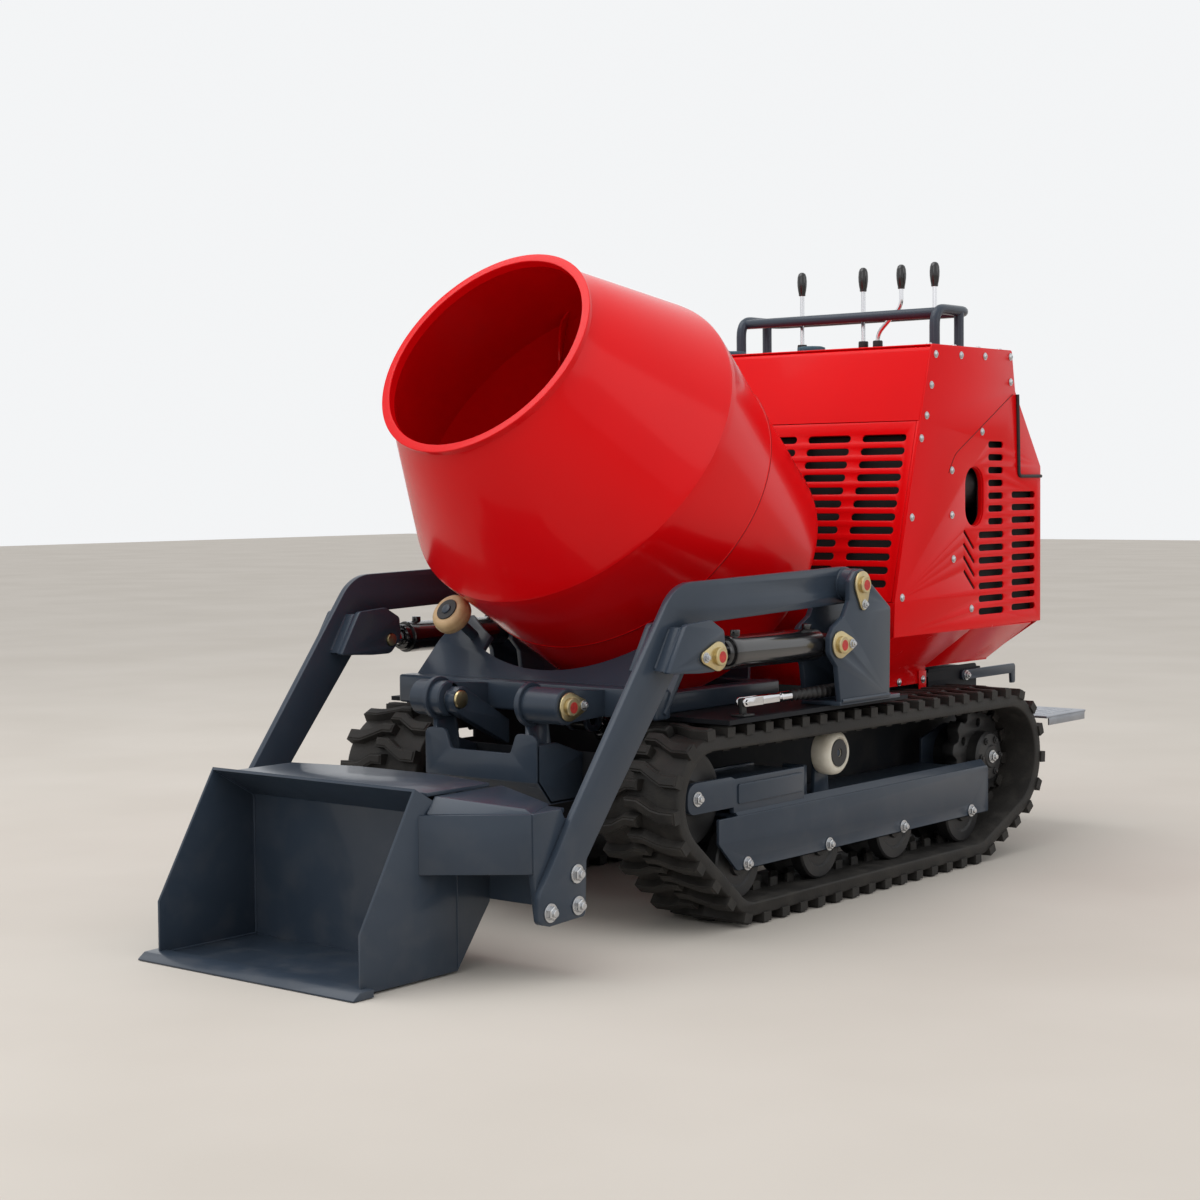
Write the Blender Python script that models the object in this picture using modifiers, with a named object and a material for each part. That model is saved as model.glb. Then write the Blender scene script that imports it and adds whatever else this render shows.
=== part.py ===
"""Tracked self-loading concrete mixer, built from separate named pieces.

Units are metres. +Z is up, the bucket points to -Y and +X is the machine's right side.
The origin is on the ground under the middle of the machine.
"""
import math

import bmesh
import bpy
from mathutils import Matrix, Vector

GAP = 0.0003                # clearance between faces that meet
PIN_FIT = 0.0003            # radial clearance of a pin in its hole

# Tracks
TRACK_X = 0.375             # middle of a track from the middle of the machine
TRACK_WIDTH = 0.23
BELT_THICKNESS = 0.030
LUG_HEIGHT = 0.020
LUG_COUNT = 50
LUG_SHARE = 0.5             # share of a pitch that the lug covers
IDLER_Y = -0.45
IDLER_Z = 0.287
IDLER_RADIUS = 0.105
SPROCKET_Y = 0.825
SPROCKET_Z = 0.25
SPROCKET_RADIUS = 0.13
SPROCKET_TEETH = 12
SPROCKET_THICKNESS = 0.034
ROLLER_Y = -0.302           # first track roller
ROLLER_PITCH = 0.323
ROLLER_COUNT = 4
ROLLER_RADIUS = 0.081
ROLLER_HALF_WIDTH = 0.062
ROLLER_WAIST = 0.026        # half width of the groove that clears the sprocket
AXLE_RADIUS = 0.014
AXLE_SIDES = 12             # sides of a round face on axles and small rollers
CARRIER_Y = 0.079
CARRIER_RADIUS = 0.052
CARRIER_WIDTH = 0.050
SIDE_FRAME_HALF = 0.085     # half width over the side plates
SIDE_PLATE = 0.008
SIDE_FRAME_TOP = 0.240
SIDE_FRAME_BOTTOM = 0.110
SIDE_FRAME_FRONT = -0.40
SIDE_FRAME_REAR = 0.755
YOKE_HALF = 0.075
YOKE_PLATE = 0.012
MOTOR_RADIUS = 0.070
MOTOR_SHAFT = 0.035

# Chassis
CHASSIS_HALF = 0.235
CHASSIS_PLATE = 0.008
CHASSIS_FRONT = -0.50
CHASSIS_REAR = 1.03
CHASSIS_BOTTOM = 0.20
CHASSIS_TOP = 0.375
DECK_TOP = 0.455
DECK_PLATE = 0.010
DECK_HALF = 0.50
DECK_FRONT = -0.42
DECK_REAR = 0.30

# Tilting cradle and drum
HINGE_Y = -0.64
HINGE_Z = 0.488
HINGE_TUBE = 0.039
HINGE_PIN = 0.020
EAR_X = 0.135               # ear rings of the front bracket
EAR_PLATE = 0.012
EAR_RING = 0.0475
DRUM_TILT = math.radians(35.5)
MOUTH_Y = -0.628
MOUTH_Z = 1.248
MOUTH_RADIUS = 0.27
CREASE_DEPTH = 0.351
CREASE_RADIUS = 0.422
REAR_DEPTH = 0.865
REAR_RADIUS = 0.371
DRUM_END_DEPTH = 0.930
DRUM_WALL = 0.005
HUB_RADIUS = 0.045
SUPPORT_RADIUS = 0.0475
SUPPORT_WIDTH = 0.040
SUPPORT_DEPTH = {-1: 0.470, 1: 0.603}  # along the drum's axis, before and behind the saddle
SUPPORT_ANGLE = {-1: math.radians(33.0), 1: math.radians(44.0)}
RAIL_OUTER = 0.31
RAIL_WIDTH = 0.05
RAIL_HEIGHT = 0.045
SADDLE_DEPTH = 0.565
SADDLE_RECESS = 0.468
SADDLE_HALF = 0.385
CRADLE_PLATE = 0.012
MOTOR_PLATE_DEPTH = 0.975

# Loader
ARM_X = 0.472               # middle of an arm plate
ARM_PLATE = 0.016
PIVOT_Y = 0.058
PIVOT_Z = 0.725
PIVOT_PIN = 0.018
TOWER_GAP = 0.078           # between the tower's two plates
TOWER_PLATE = 0.014
BARREL_PIN_Y = -0.034
BARREL_PIN_Z = 0.594
ROD_PIN_Y = -0.498
ROD_PIN_Z = 0.598
LIFT_BARREL_RADIUS = 0.0365
LIFT_ROD_RADIUS = 0.0175
CYLINDER_PIN = 0.015
BUCKET_HALF = 0.2923
BUCKET_WALL = 0.006
BUCKET_BACK = -1.046
LIP_HALF = 0.3105
LIP_FRONT = -1.35
BUCKET_GROUND = 0.004

# Tilt cylinder
TILT_BASE_Y = 0.15
TILT_BASE_Z = 0.25
TILT_EYE_Y = -0.30
TILT_EYE_Z = 0.42
TILT_BARREL_RADIUS = 0.030
TILT_ROD_RADIUS = 0.015

# Engine cover
COVER_HALF = 0.43
COVER_SHEET = 0.004
EXHAUST_LOW = (0.692, 0.843)   # lower front corner of the oval exhaust opening
EXHAUST_HIGH = (0.785, 0.997)
EXHAUST_ROUND = 0.045
COVER_FRONT_TOP = (0.531, 1.295)
COVER_CREASE = (0.476, 1.106)
COVER_FRONT_LOW = (0.357, 0.668)
COVER_FRONT_FOOT = (0.352, 0.583)
COVER_REAR_TOP = (0.932, 1.295)
COVER_REAR_SHOULDER = (0.950, 1.190)
COVER_REAR_BEND = (1.088, 0.995)
COVER_REAR_FOOT = (1.088, 0.587)
SKIRT_HALF = 0.297
SKIRT_REAR = 1.038
SKIRT_LENGTH_END = 0.72     # the skirt stops here, behind it the hook swings
SKIRT_BOTTOM = 0.442
CHAMFER_BOTTOM = 0.485
TRAY_TOP = 0.465
TRAY_PLATE = 0.010

# Rail, levers, rear
RAIL_TUBE = 0.0135
RAIL_X = 0.3036
RAIL_TOP = 1.401
RAIL_FRONT = 0.757
RAIL_REAR = 0.930
RAIL_REAR_LEG = 0.880
LEVER_ROD = 0.006
LEVER_BALL = 0.0125
LEVER_Y = 0.85
KNOB_RADIUS = 0.0135
KNOB_HEIGHT = 0.064
KNOB_TOP = 1.530
PLATFORM_HALF = 0.434
PLATFORM_Z = 0.325
PLATFORM_HINGE_Y = 1.105
PLATFORM_REAR = 1.35
PLATFORM_SHEET = 0.006
HOOK_Y = 0.922
HOOK_Z = 0.447

# What follows from the sizes above
ROLLER_Z = LUG_HEIGHT + BELT_THICKNESS + GAP + ROLLER_RADIUS
ROLLER_LAST_Y = ROLLER_Y + ROLLER_PITCH * (ROLLER_COUNT - 1)
FRAME_IN = TRACK_X - SIDE_FRAME_HALF
FRAME_OUT = TRACK_X + SIDE_FRAME_HALF
DRUM_AXIS = Vector((0.0, math.cos(DRUM_TILT), -math.sin(DRUM_TILT)))
DRUM_DOWN = Vector((0.0, -math.sin(DRUM_TILT), -math.cos(DRUM_TILT)))
MOUTH = Vector((0.0, MOUTH_Y, MOUTH_Z))
COVER_INNER = COVER_HALF - COVER_SHEET - GAP
SKIRT_INNER = SKIRT_HALF - COVER_SHEET - GAP
TRAY_FRONT = COVER_FRONT_FOOT[0] + COVER_SHEET + GAP
TRAY_REAR = SKIRT_REAR - 0.028

RED = ("red_paint", (0.68, 0.008, 0.012), 0.28, 0.0)
GREY = ("anthracite_paint", (0.050, 0.060, 0.080), 0.40, 0.0)
RUBBER = ("black_rubber", (0.018, 0.017, 0.016), 0.80, 0.0)
BLACK = ("black_gloss", (0.010, 0.010, 0.011), 0.22, 0.0)
CHROME = ("chrome", (0.80, 0.80, 0.82), 0.12, 1.0)
ZINC = ("gold_zinc", (0.60, 0.47, 0.25), 0.35, 1.0)
STEEL = ("cast_steel", (0.16, 0.16, 0.17), 0.50, 0.9)
NYLON = ("nylon", (0.78, 0.74, 0.64), 0.55, 0.0)
ALLOY = ("engine_alloy", (0.42, 0.43, 0.44), 0.45, 0.9)
TEAL = ("teal_cap", (0.02, 0.10, 0.14), 0.45, 0.0)
CHECKER = ("checker_plate", (0.42, 0.43, 0.45), 0.40, 0.9)


# ---- scene and helpers -------------------------------------------------------

def clear_scene():
    """Empty the scene and make one collection for pieces and one for cutters."""
    for old in list(bpy.data.objects):
        bpy.data.objects.remove(old, do_unlink=True)
    made = []
    for name in ("concrete_mixer", "cutters"):
        collection = bpy.data.collections.new(name)
        bpy.context.scene.collection.children.link(collection)
        made.append(collection)
    return made


PIECES, CUTTERS = clear_scene()


def finish(obj, paint):
    """Give a piece its material."""
    name, colour, roughness, metallic = paint
    material = bpy.data.materials.get(name) or bpy.data.materials.new(name)
    material.use_nodes = True
    shader = material.node_tree.nodes["Principled BSDF"]
    shader.inputs["Base Color"].default_value = (*colour, 1.0)
    shader.inputs["Roughness"].default_value = roughness
    shader.inputs["Metallic"].default_value = metallic
    obj.data.materials.clear()
    obj.data.materials.append(material)
    return obj


def new_object(name, data, matrix=None):
    obj = bpy.data.objects.new(name, data)
    PIECES.objects.link(obj)
    if matrix is not None:
        obj.matrix_world = matrix
    return obj


def from_bmesh(name, bm, matrix=None):
    mesh = bpy.data.meshes.new(name)
    bm.to_mesh(mesh)
    bm.free()
    return new_object(name, mesh, matrix)


def block(name, low, high):
    """A box between two corners."""
    low, high = Vector(low), Vector(high)
    bm = bmesh.new()
    bmesh.ops.create_cube(bm, size=1.0)
    bmesh.ops.scale(bm, vec=high - low, verts=bm.verts)
    return from_bmesh(name, bm, Matrix.Translation((low + high) / 2))


def side_block(name, side, x_range, y_range, z_range):
    """A box whose x range is given for the right side, mirrored for the left."""
    xs = sorted(side * x for x in x_range)
    return block(name, (xs[0], y_range[0], z_range[0]), (xs[1], y_range[1], z_range[1]))


def along(start, end):
    """The matrix that stands local Z from start towards end, at their middle."""
    start, end = Vector(start), Vector(end)
    turn = Vector((0, 0, 1)).rotation_difference(end - start)
    return Matrix.LocRotScale((start + end) / 2, turn, None)


def shade(obj, angle=35):
    """Smooth a round piece and keep its edges sharp."""
    obj.data.shade_smooth()
    obj.data.set_sharp_from_angle(angle=math.radians(angle))
    return obj


def rod(name, start, end, radius, sides=16):
    """A round bar from start to end."""
    length = (Vector(end) - Vector(start)).length
    bm = bmesh.new()
    bmesh.ops.create_cone(bm, cap_ends=True, segments=sides, radius1=radius, radius2=radius, depth=length)
    return shade(from_bmesh(name, bm, along(start, end)))


def cross_rod(name, side, x_range, y, z, radius, sides=16):
    """A round bar along X at y, z."""
    xs = sorted(side * x for x in x_range)
    return rod(name, (xs[0], y, z), (xs[1], y, z), radius, sides)


def ball(name, centre, radius):
    bm = bmesh.new()
    bmesh.ops.create_uvsphere(bm, u_segments=10, v_segments=6, radius=radius)
    return shade(from_bmesh(name, bm, Matrix.Translation(centre)))


def settle(curve_object):
    """Replace a curve object by the closed mesh it draws."""
    bpy.context.view_layer.update()
    graph = bpy.context.evaluated_depsgraph_get()
    mesh = bpy.data.meshes.new_from_object(curve_object.evaluated_get(graph))
    bm = bmesh.new()
    bm.from_mesh(mesh)
    bmesh.ops.remove_doubles(bm, verts=bm.verts, dist=0.00002)
    bm.to_mesh(mesh)
    bm.free()
    matrix = curve_object.matrix_world.copy()
    name = curve_object.name
    bpy.data.objects.remove(curve_object, do_unlink=True)
    return new_object(name, mesh, matrix)


PLANES = {
    "YZ": Matrix(((0, 0, 1, 0), (1, 0, 0, 0), (0, 1, 0, 0), (0, 0, 0, 1))),
    "XZ": Matrix(((1, 0, 0, 0), (0, 0, -1, 0), (0, 1, 0, 0), (0, 0, 0, 1))),
}


def plate(name, outlines, thickness, matrix):
    """A flat plate drawn by closed outlines: the first is its edge, the others are holes."""
    curve = bpy.data.curves.new(name, "CURVE")
    curve.dimensions = "2D"
    curve.fill_mode = "BOTH"
    curve.extrude = thickness / 2
    for outline in outlines:
        spline = curve.splines.new("POLY")
        spline.points.add(len(outline) - 1)
        for point, place in zip(spline.points, outline):
            point.co = (place[0], place[1], 0, 1)
        spline.use_cyclic_u = True
    return settle(new_object(name, curve, matrix))


def plate_yz(name, outline, low_x, high_x, holes=()):
    """A plate in a plane of constant x, between low_x and high_x."""
    low_x, high_x = sorted((low_x, high_x))
    matrix = Matrix.Translation(((low_x + high_x) / 2, 0, 0)) @ PLANES["YZ"]
    return plate(name, [outline, *holes], high_x - low_x, matrix)


def plate_xz(name, outline, low_y, high_y):
    matrix = Matrix.Translation((0, (low_y + high_y) / 2, 0)) @ PLANES["XZ"]
    return plate(name, [outline], high_y - low_y, matrix)


def plate_xy(name, outline, low_z, high_z):
    return plate(name, [outline], high_z - low_z, Matrix.Translation((0, 0, (low_z + high_z) / 2)))


def bore(pin, sides=AXLE_SIDES):
    """Radius of a faceted hole whose flats clear a pin that turns in it."""
    return (pin + PIN_FIT) / math.cos(math.pi / sides)


def circle(y, z, radius, sides=24):
    """The corners of a round hole."""
    turn = 2 * math.pi / sides
    return [(y + radius * math.cos(turn * i), z + radius * math.sin(turn * i)) for i in range(sides)]


def rounded(corners, steps=2):
    """An outline whose corners (y, z, radius) are rounded by arcs."""
    points = []
    for index, (y, z, radius) in enumerate(corners):
        corner = Vector((y, z))
        if radius == 0:
            points.append(tuple(corner))
            continue
        before = (Vector(corners[index - 1][:2]) - corner).normalized()
        after = (Vector(corners[(index + 1) % len(corners)][:2]) - corner).normalized()
        half = before.angle(after) / 2
        centre = corner + (before + after).normalized() * radius / math.sin(half)
        first = corner + before * radius / math.tan(half) - centre
        last = corner + after * radius / math.tan(half) - centre
        sweep = first.angle_signed(last)
        for step in range(steps + 1):
            turn = Matrix.Rotation(-sweep * step / steps, 2)
            points.append(tuple(centre + turn @ first))
    return points


def turned(name, profile, base, axis, steps=32):
    """A turned piece: profile points (radius, height) run up inside and down outside."""
    mesh = bpy.data.meshes.new(name)
    vertices = [(radius, 0, height) for radius, height in profile]
    edges = [(i, i + 1) for i in range(len(profile) - 1)]
    if profile[0][0] > 0:
        edges.append((len(profile) - 1, 0))
    mesh.from_pydata(vertices, edges, [])
    base = Vector(base)
    turn = Vector((0, 0, 1)).rotation_difference(Vector(axis))
    obj = new_object(name, mesh, Matrix.LocRotScale(base, turn, None))
    screw = obj.modifiers.new("turn", "SCREW")
    screw.steps = steps
    screw.render_steps = steps
    screw.use_merge_vertices = True
    screw.merge_threshold = 0.00005
    return obj


def ring(outer, inner, low, high, edge):
    """Profile of a turned roller with a bore, its outer edges broken."""
    return [(inner, low), (inner, high), (outer - edge, high), (outer, high - edge),
            (outer, low + edge), (outer - edge, low)]


def tube(name, points, radius, resolution=3, cyclic=False):
    """A round bar bent through points."""
    curve = bpy.data.curves.new(name, "CURVE")
    curve.dimensions = "3D"
    curve.bevel_depth = radius
    curve.bevel_resolution = resolution
    curve.use_fill_caps = not cyclic
    spline = curve.splines.new("POLY")
    spline.points.add(len(points) - 1)
    for point, place in zip(spline.points, points):
        point.co = (*place, 1)
    spline.use_cyclic_u = cyclic
    return settle(new_object(name, curve))


def boolean(obj, tool, operation):
    PIECES.objects.unlink(tool)
    CUTTERS.objects.link(tool)
    tool.hide_render = True
    tool.display_type = "WIRE"
    modifier = obj.modifiers.new(operation.lower(), "BOOLEAN")
    modifier.operation = operation
    modifier.object = tool
    return obj


def fuse(obj, *others):
    """Weld other shapes onto a piece."""
    for other in others:
        boolean(obj, other, "UNION")
    return obj


def carve(obj, *cutters):
    """Cut shapes out of a piece."""
    for cutter in cutters:
        boolean(obj, cutter, "DIFFERENCE")
    return obj


def pivot(name, place):
    """An empty on a joint's axis."""
    empty = bpy.data.objects.new(name, None)
    CUTTERS.objects.link(empty)
    empty.location = place
    empty.hide_render = True
    return empty


def hang(empty, *pieces):
    """Parent pieces to a joint's empty without moving them."""
    bpy.context.view_layer.update()
    for piece in pieces:
        piece.parent = empty
        piece.matrix_parent_inverse = empty.matrix_world.inverted()


def side_name(side):
    return "right" if side > 0 else "left"


# ---- tracks ------------------------------------------------------------------

def belt_path(offset, step_degrees):
    """The loop round idler, rollers and sprocket, offset outwards from their treads."""
    wheels = [
        (SPROCKET_Y, SPROCKET_Z, SPROCKET_RADIUS),
        (IDLER_Y, IDLER_Z, IDLER_RADIUS),
        (ROLLER_Y, ROLLER_Z, ROLLER_RADIUS),
        (ROLLER_LAST_Y, ROLLER_Z, ROLLER_RADIUS),
    ]
    normals = []
    for (y0, z0, r0), (y1, z1, r1) in zip(wheels, wheels[1:] + wheels[:1]):
        run = math.atan2(z1 - z0, y1 - y0)
        lean = math.asin((r0 - r1) / math.hypot(y1 - y0, z1 - z0))
        normals.append(run - math.pi / 2 + lean)
    points = []
    for index, (y, z, radius) in enumerate(wheels):
        start = normals[index - 1]
        sweep = (normals[index] - start) % (2 * math.pi)
        steps = max(1, math.ceil(math.degrees(sweep) / step_degrees))
        reach = (radius + GAP + offset) / math.cos(sweep / steps / 2)
        points.append((y, z, radius + GAP + offset, start))
        for step in range(steps):
            points.append((y, z, reach, start + sweep * (step + 0.5) / steps))
        points.append((y, z, radius + GAP + offset, normals[index]))
    return [(y + reach * math.cos(turn), z + reach * math.sin(turn)) for y, z, reach, turn in points]


def point_along(path, distance):
    """Point and outward normal at a distance along a closed path that runs clockwise or not."""
    for start, end in zip(path, path[1:] + path[:1]):
        run = Vector(end) - Vector(start)
        if distance <= run.length:
            direction = run.normalized()
            normal = Vector((direction.y, -direction.x))
            return Vector(start) + direction * distance, normal
        distance -= run.length
    return Vector(path[0]), Vector((0, 1))


def belt_outline():
    """The belt's outer edge, with its tread lugs."""
    path = belt_path(BELT_THICKNESS, 5)
    length = sum((Vector(b) - Vector(a)).length for a, b in zip(path, path[1:] + path[:1]))
    pitch = length / LUG_COUNT
    outline = []
    for index in range(LUG_COUNT):
        for share, height in ((0, 0), (0.04, LUG_HEIGHT), (LUG_SHARE - 0.04, LUG_HEIGHT), (LUG_SHARE, 0)):
            place, normal = point_along(path, (index + share) * pitch)
            outline.append(tuple(place + normal * height))
    return outline


def track_belt(side):
    half = TRACK_WIDTH / 2
    name = f"track_belt_{side_name(side)}"
    belt = plate_yz(name, belt_outline(), side * (TRACK_X - half), side * (TRACK_X + half),
                    [belt_path(0, 16)])
    return finish(belt, RUBBER)


def sprocket(side):
    tip = SPROCKET_RADIUS
    root = SPROCKET_RADIUS - 0.018
    outline = []
    for tooth in range(SPROCKET_TEETH):
        for share, radius in ((0.0, root), (0.25, root), (0.4, tip), (0.85, tip)):
            turn = 2 * math.pi * (tooth + share) / SPROCKET_TEETH
            outline.append((SPROCKET_Y + radius * math.cos(turn), SPROCKET_Z + radius * math.sin(turn)))
    half = SPROCKET_THICKNESS / 2
    wheel = plate_yz(f"sprocket_{side_name(side)}", outline, side * (TRACK_X - half), side * (TRACK_X + half))
    hub = cross_rod("sprocket_hub", side, (TRACK_X, TRACK_X + 0.057), SPROCKET_Y, SPROCKET_Z, 0.062, 20)
    shaft_hole = cross_rod("sprocket_bore", side, (TRACK_X - 0.1, TRACK_X + 0.0503), SPROCKET_Y, SPROCKET_Z,
                            bore(MOTOR_SHAFT, 16), 16)
    hang(pivot("sprocket_axis", (side * TRACK_X, SPROCKET_Y, SPROCKET_Z)), wheel)
    return finish(carve(fuse(wheel, hub), shaft_hole), STEEL)


def travel_motor(side):
    name = f"travel_motor_{side_name(side)}"
    front = TRACK_X - SPROCKET_THICKNESS / 2 - 0.004
    body = cross_rod(name, side, (FRAME_IN + SIDE_PLATE + GAP, front), SPROCKET_Y, SPROCKET_Z,
                     MOTOR_RADIUS, 20)
    shaft = cross_rod("motor_shaft", side, (front - 0.01, TRACK_X + 0.050), SPROCKET_Y, SPROCKET_Z, MOTOR_SHAFT)
    return finish(fuse(body, shaft), STEEL)


def track_frame(side):
    """Side frame of one track: two plates, a top, the motor plate and the carrier roller's pin."""
    outline = [(SIDE_FRAME_FRONT, SIDE_FRAME_TOP), (SIDE_FRAME_REAR, SIDE_FRAME_TOP),
               (SIDE_FRAME_REAR, SIDE_FRAME_BOTTOM), (SIDE_FRAME_FRONT + 0.077, SIDE_FRAME_BOTTOM),
               (SIDE_FRAME_FRONT, SIDE_FRAME_BOTTOM + 0.048)]
    frame = plate_yz(f"track_frame_{side_name(side)}", outline, side * (FRAME_OUT - SIDE_PLATE),
                     side * FRAME_OUT)
    inner = plate_yz("frame_inner", outline, side * FRAME_IN, side * (FRAME_IN + SIDE_PLATE))
    holes = [cross_rod("axle_hole", side, (FRAME_IN - 0.05, FRAME_OUT + 0.05), ROLLER_Y + ROLLER_PITCH * i,
                       ROLLER_Z, bore(AXLE_RADIUS), AXLE_SIDES) for i in range(ROLLER_COUNT)]
    top_end = SPROCKET_Y - SPROCKET_RADIUS - 0.012
    top = side_block("frame_top", side, (FRAME_IN + 0.002, FRAME_OUT - 0.002),
                     (IDLER_Y + IDLER_RADIUS + 0.012, top_end), (SIDE_FRAME_TOP - SIDE_PLATE, SIDE_FRAME_TOP))
    motor_plate = cross_rod("motor_plate", side, (FRAME_IN, FRAME_IN + SIDE_PLATE), SPROCKET_Y,
                            SPROCKET_Z, MOTOR_RADIUS + 0.018, 20)
    motor_web = side_block("motor_web", side, (FRAME_IN, FRAME_IN + SIDE_PLATE),
                           (SIDE_FRAME_REAR - 0.12, SPROCKET_Y), (SPROCKET_Z - 0.075, SPROCKET_Z + 0.06))
    carrier_in = FRAME_OUT - CARRIER_WIDTH - 0.008
    bracket = side_block("carrier_bracket", side, (carrier_in - 0.012, carrier_in - GAP),
                         (CARRIER_Y - 0.03, CARRIER_Y + 0.03), (SIDE_FRAME_TOP - 0.004, carrier_z() + 0.02))
    pin = cross_rod("carrier_pin", side, (carrier_in - 0.006, FRAME_OUT - 0.012), CARRIER_Y, carrier_z(), 0.010, 16)
    stop = side_block("tension_stop", side, (TRACK_X - 0.03, TRACK_X + 0.03), (0.0, 0.014),
                      (SIDE_FRAME_TOP - 0.004, SIDE_FRAME_TOP + 0.07))
    fuse(frame, inner, top, motor_web, motor_plate, bracket, pin, stop)
    return finish(carve(frame, *holes), GREY)


def carrier_z():
    """Height of the carrier roller, which holds up the belt's top run."""
    share = (CARRIER_Y - IDLER_Y) / (SPROCKET_Y - IDLER_Y)
    run_z = IDLER_Z + IDLER_RADIUS + share * (SPROCKET_Z + SPROCKET_RADIUS - IDLER_Z - IDLER_RADIUS)
    return run_z - CARRIER_RADIUS - 0.0008


def carrier_roller(side):
    low = FRAME_OUT - CARRIER_WIDTH - 0.008
    centre = low + CARRIER_WIDTH / 2
    half = CARRIER_WIDTH / 2
    profile = ring(CARRIER_RADIUS, bore(0.010, 20), -half, half, 0.008)
    roller = turned(f"carrier_roller_{side_name(side)}", profile,
                    (side * centre, CARRIER_Y, carrier_z()), (1, 0, 0), 20)
    return finish(roller, NYLON)


def track_roller(side, index):
    """A double-flanged roller with its axle ends."""
    end = SIDE_FRAME_HALF - 0.001
    wide, waist = ROLLER_HALF_WIDTH, ROLLER_WAIST
    profile = [(0, end), (AXLE_RADIUS, end), (AXLE_RADIUS, wide), (ROLLER_RADIUS, wide),
               (ROLLER_RADIUS, waist), (0.032, waist), (0.032, -waist), (ROLLER_RADIUS, -waist),
               (ROLLER_RADIUS, -wide), (AXLE_RADIUS, -wide), (AXLE_RADIUS, -end), (0, -end)]
    y = ROLLER_Y + ROLLER_PITCH * index
    roller = turned(f"track_roller_{side_name(side)}_{index + 1}", profile,
                    (side * TRACK_X, y, ROLLER_Z), (1, 0, 0), AXLE_SIDES)
    return finish(roller, STEEL)


def idler_yoke(side):
    """The sliding fork that carries the idler and its axle."""
    low_z, high_z = IDLER_Z - 0.024, IDLER_Z + 0.042
    front, back = IDLER_Y - 0.032, -0.064
    arms = []
    for inner in (TRACK_X - YOKE_HALF, TRACK_X + YOKE_HALF - YOKE_PLATE):
        arms.append(side_block("yoke_arm", side, (inner, inner + YOKE_PLATE), (front, back), (low_z, high_z)))
    slider = side_block("yoke_slider", side, (TRACK_X - YOKE_HALF + 0.002, TRACK_X + YOKE_HALF - 0.002),
                        (IDLER_Y + IDLER_RADIUS + 0.035, back), (SIDE_FRAME_TOP + GAP, low_z + 0.034))
    axle = cross_rod("idler_axle", side, (TRACK_X - YOKE_HALF + 0.003, TRACK_X + YOKE_HALF - 0.003), IDLER_Y,
                     IDLER_Z, AXLE_RADIUS)
    screw = rod("tension_rod", (side * TRACK_X, back - 0.02, 0.277), (side * TRACK_X, -0.0215, 0.277), 0.011, 16)
    yoke = arms[0]
    yoke.name = f"idler_yoke_{side_name(side)}"
    return finish(fuse(yoke, arms[1], slider, axle, screw), GREY)


def idler(side):
    inner = bore(AXLE_RADIUS, 24)
    profile = [(inner, -0.046), (inner, 0.046), (0.036, 0.046), (0.036, 0.030), (IDLER_RADIUS, 0.030),
               (IDLER_RADIUS, -0.030), (0.036, -0.030), (0.036, -0.046)]
    wheel = turned(f"idler_{side_name(side)}", profile, (side * TRACK_X, IDLER_Y, IDLER_Z), (1, 0, 0), 24)
    return finish(wheel, STEEL)


# ---- chassis -----------------------------------------------------------------

def chassis_frame():
    """Ladder frame with decks over the tracks, the engine tray and the rear lugs."""
    inner = CHASSIS_HALF - CHASSIS_PLATE
    outline = [(CHASSIS_FRONT, CHASSIS_BOTTOM), (CHASSIS_FRONT, CHASSIS_TOP), (DECK_FRONT, CHASSIS_TOP),
               (DECK_FRONT, DECK_TOP - 0.001), (DECK_REAR, DECK_TOP - 0.001), (DECK_REAR, CHASSIS_TOP),
               (TRAY_FRONT, CHASSIS_TOP), (TRAY_FRONT, TRAY_TOP - 0.001), (TRAY_REAR, TRAY_TOP - 0.001),
               (TRAY_REAR, CHASSIS_TOP), (CHASSIS_REAR, CHASSIS_TOP), (CHASSIS_REAR, CHASSIS_BOTTOM)]
    frame = plate_yz("chassis_frame", outline, inner, CHASSIS_HALF)
    shapes = [plate_yz("side_plate", outline, -CHASSIS_HALF, -inner)]
    for y in (CHASSIS_FRONT, CHASSIS_REAR - CHASSIS_PLATE):
        shapes.append(block("end_plate", (-inner - 0.002, y, CHASSIS_BOTTOM),
                            (inner + 0.002, y + CHASSIS_PLATE, CHASSIS_TOP - 0.001)))
    for y in (-0.20, 0.52):
        shapes.append(block("cross_tube", (GAP - FRAME_IN, y, 0.15), (FRAME_IN - GAP, y + 0.08, 0.225)))
    shapes.append(block("tilt_beam", (-inner - 0.001, TILT_BASE_Y + 0.035, 0.21),
                        (inner + 0.001, TILT_BASE_Y + 0.085, 0.29)))
    for side in (-1, 1):
        shapes += chassis_side(side, inner)
    shapes.append(block("engine_tray", (-SKIRT_INNER, TRAY_FRONT, TRAY_TOP - TRAY_PLATE),
                        (SKIRT_INNER, TRAY_REAR, TRAY_TOP)))
    shapes.append(side_block("hook_bracket", 1, (SKIRT_INNER - 0.012, SKIRT_INNER), (0.74, 1.0),
                             (0.442, TRAY_TOP - 0.002)))
    shapes.append(cross_rod("hook_stud", 1, (SKIRT_INNER - 0.004, SKIRT_INNER + 0.012), HOOK_Y, HOOK_Z, 0.007, 16))
    return finish(fuse(frame, *shapes), GREY)


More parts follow.
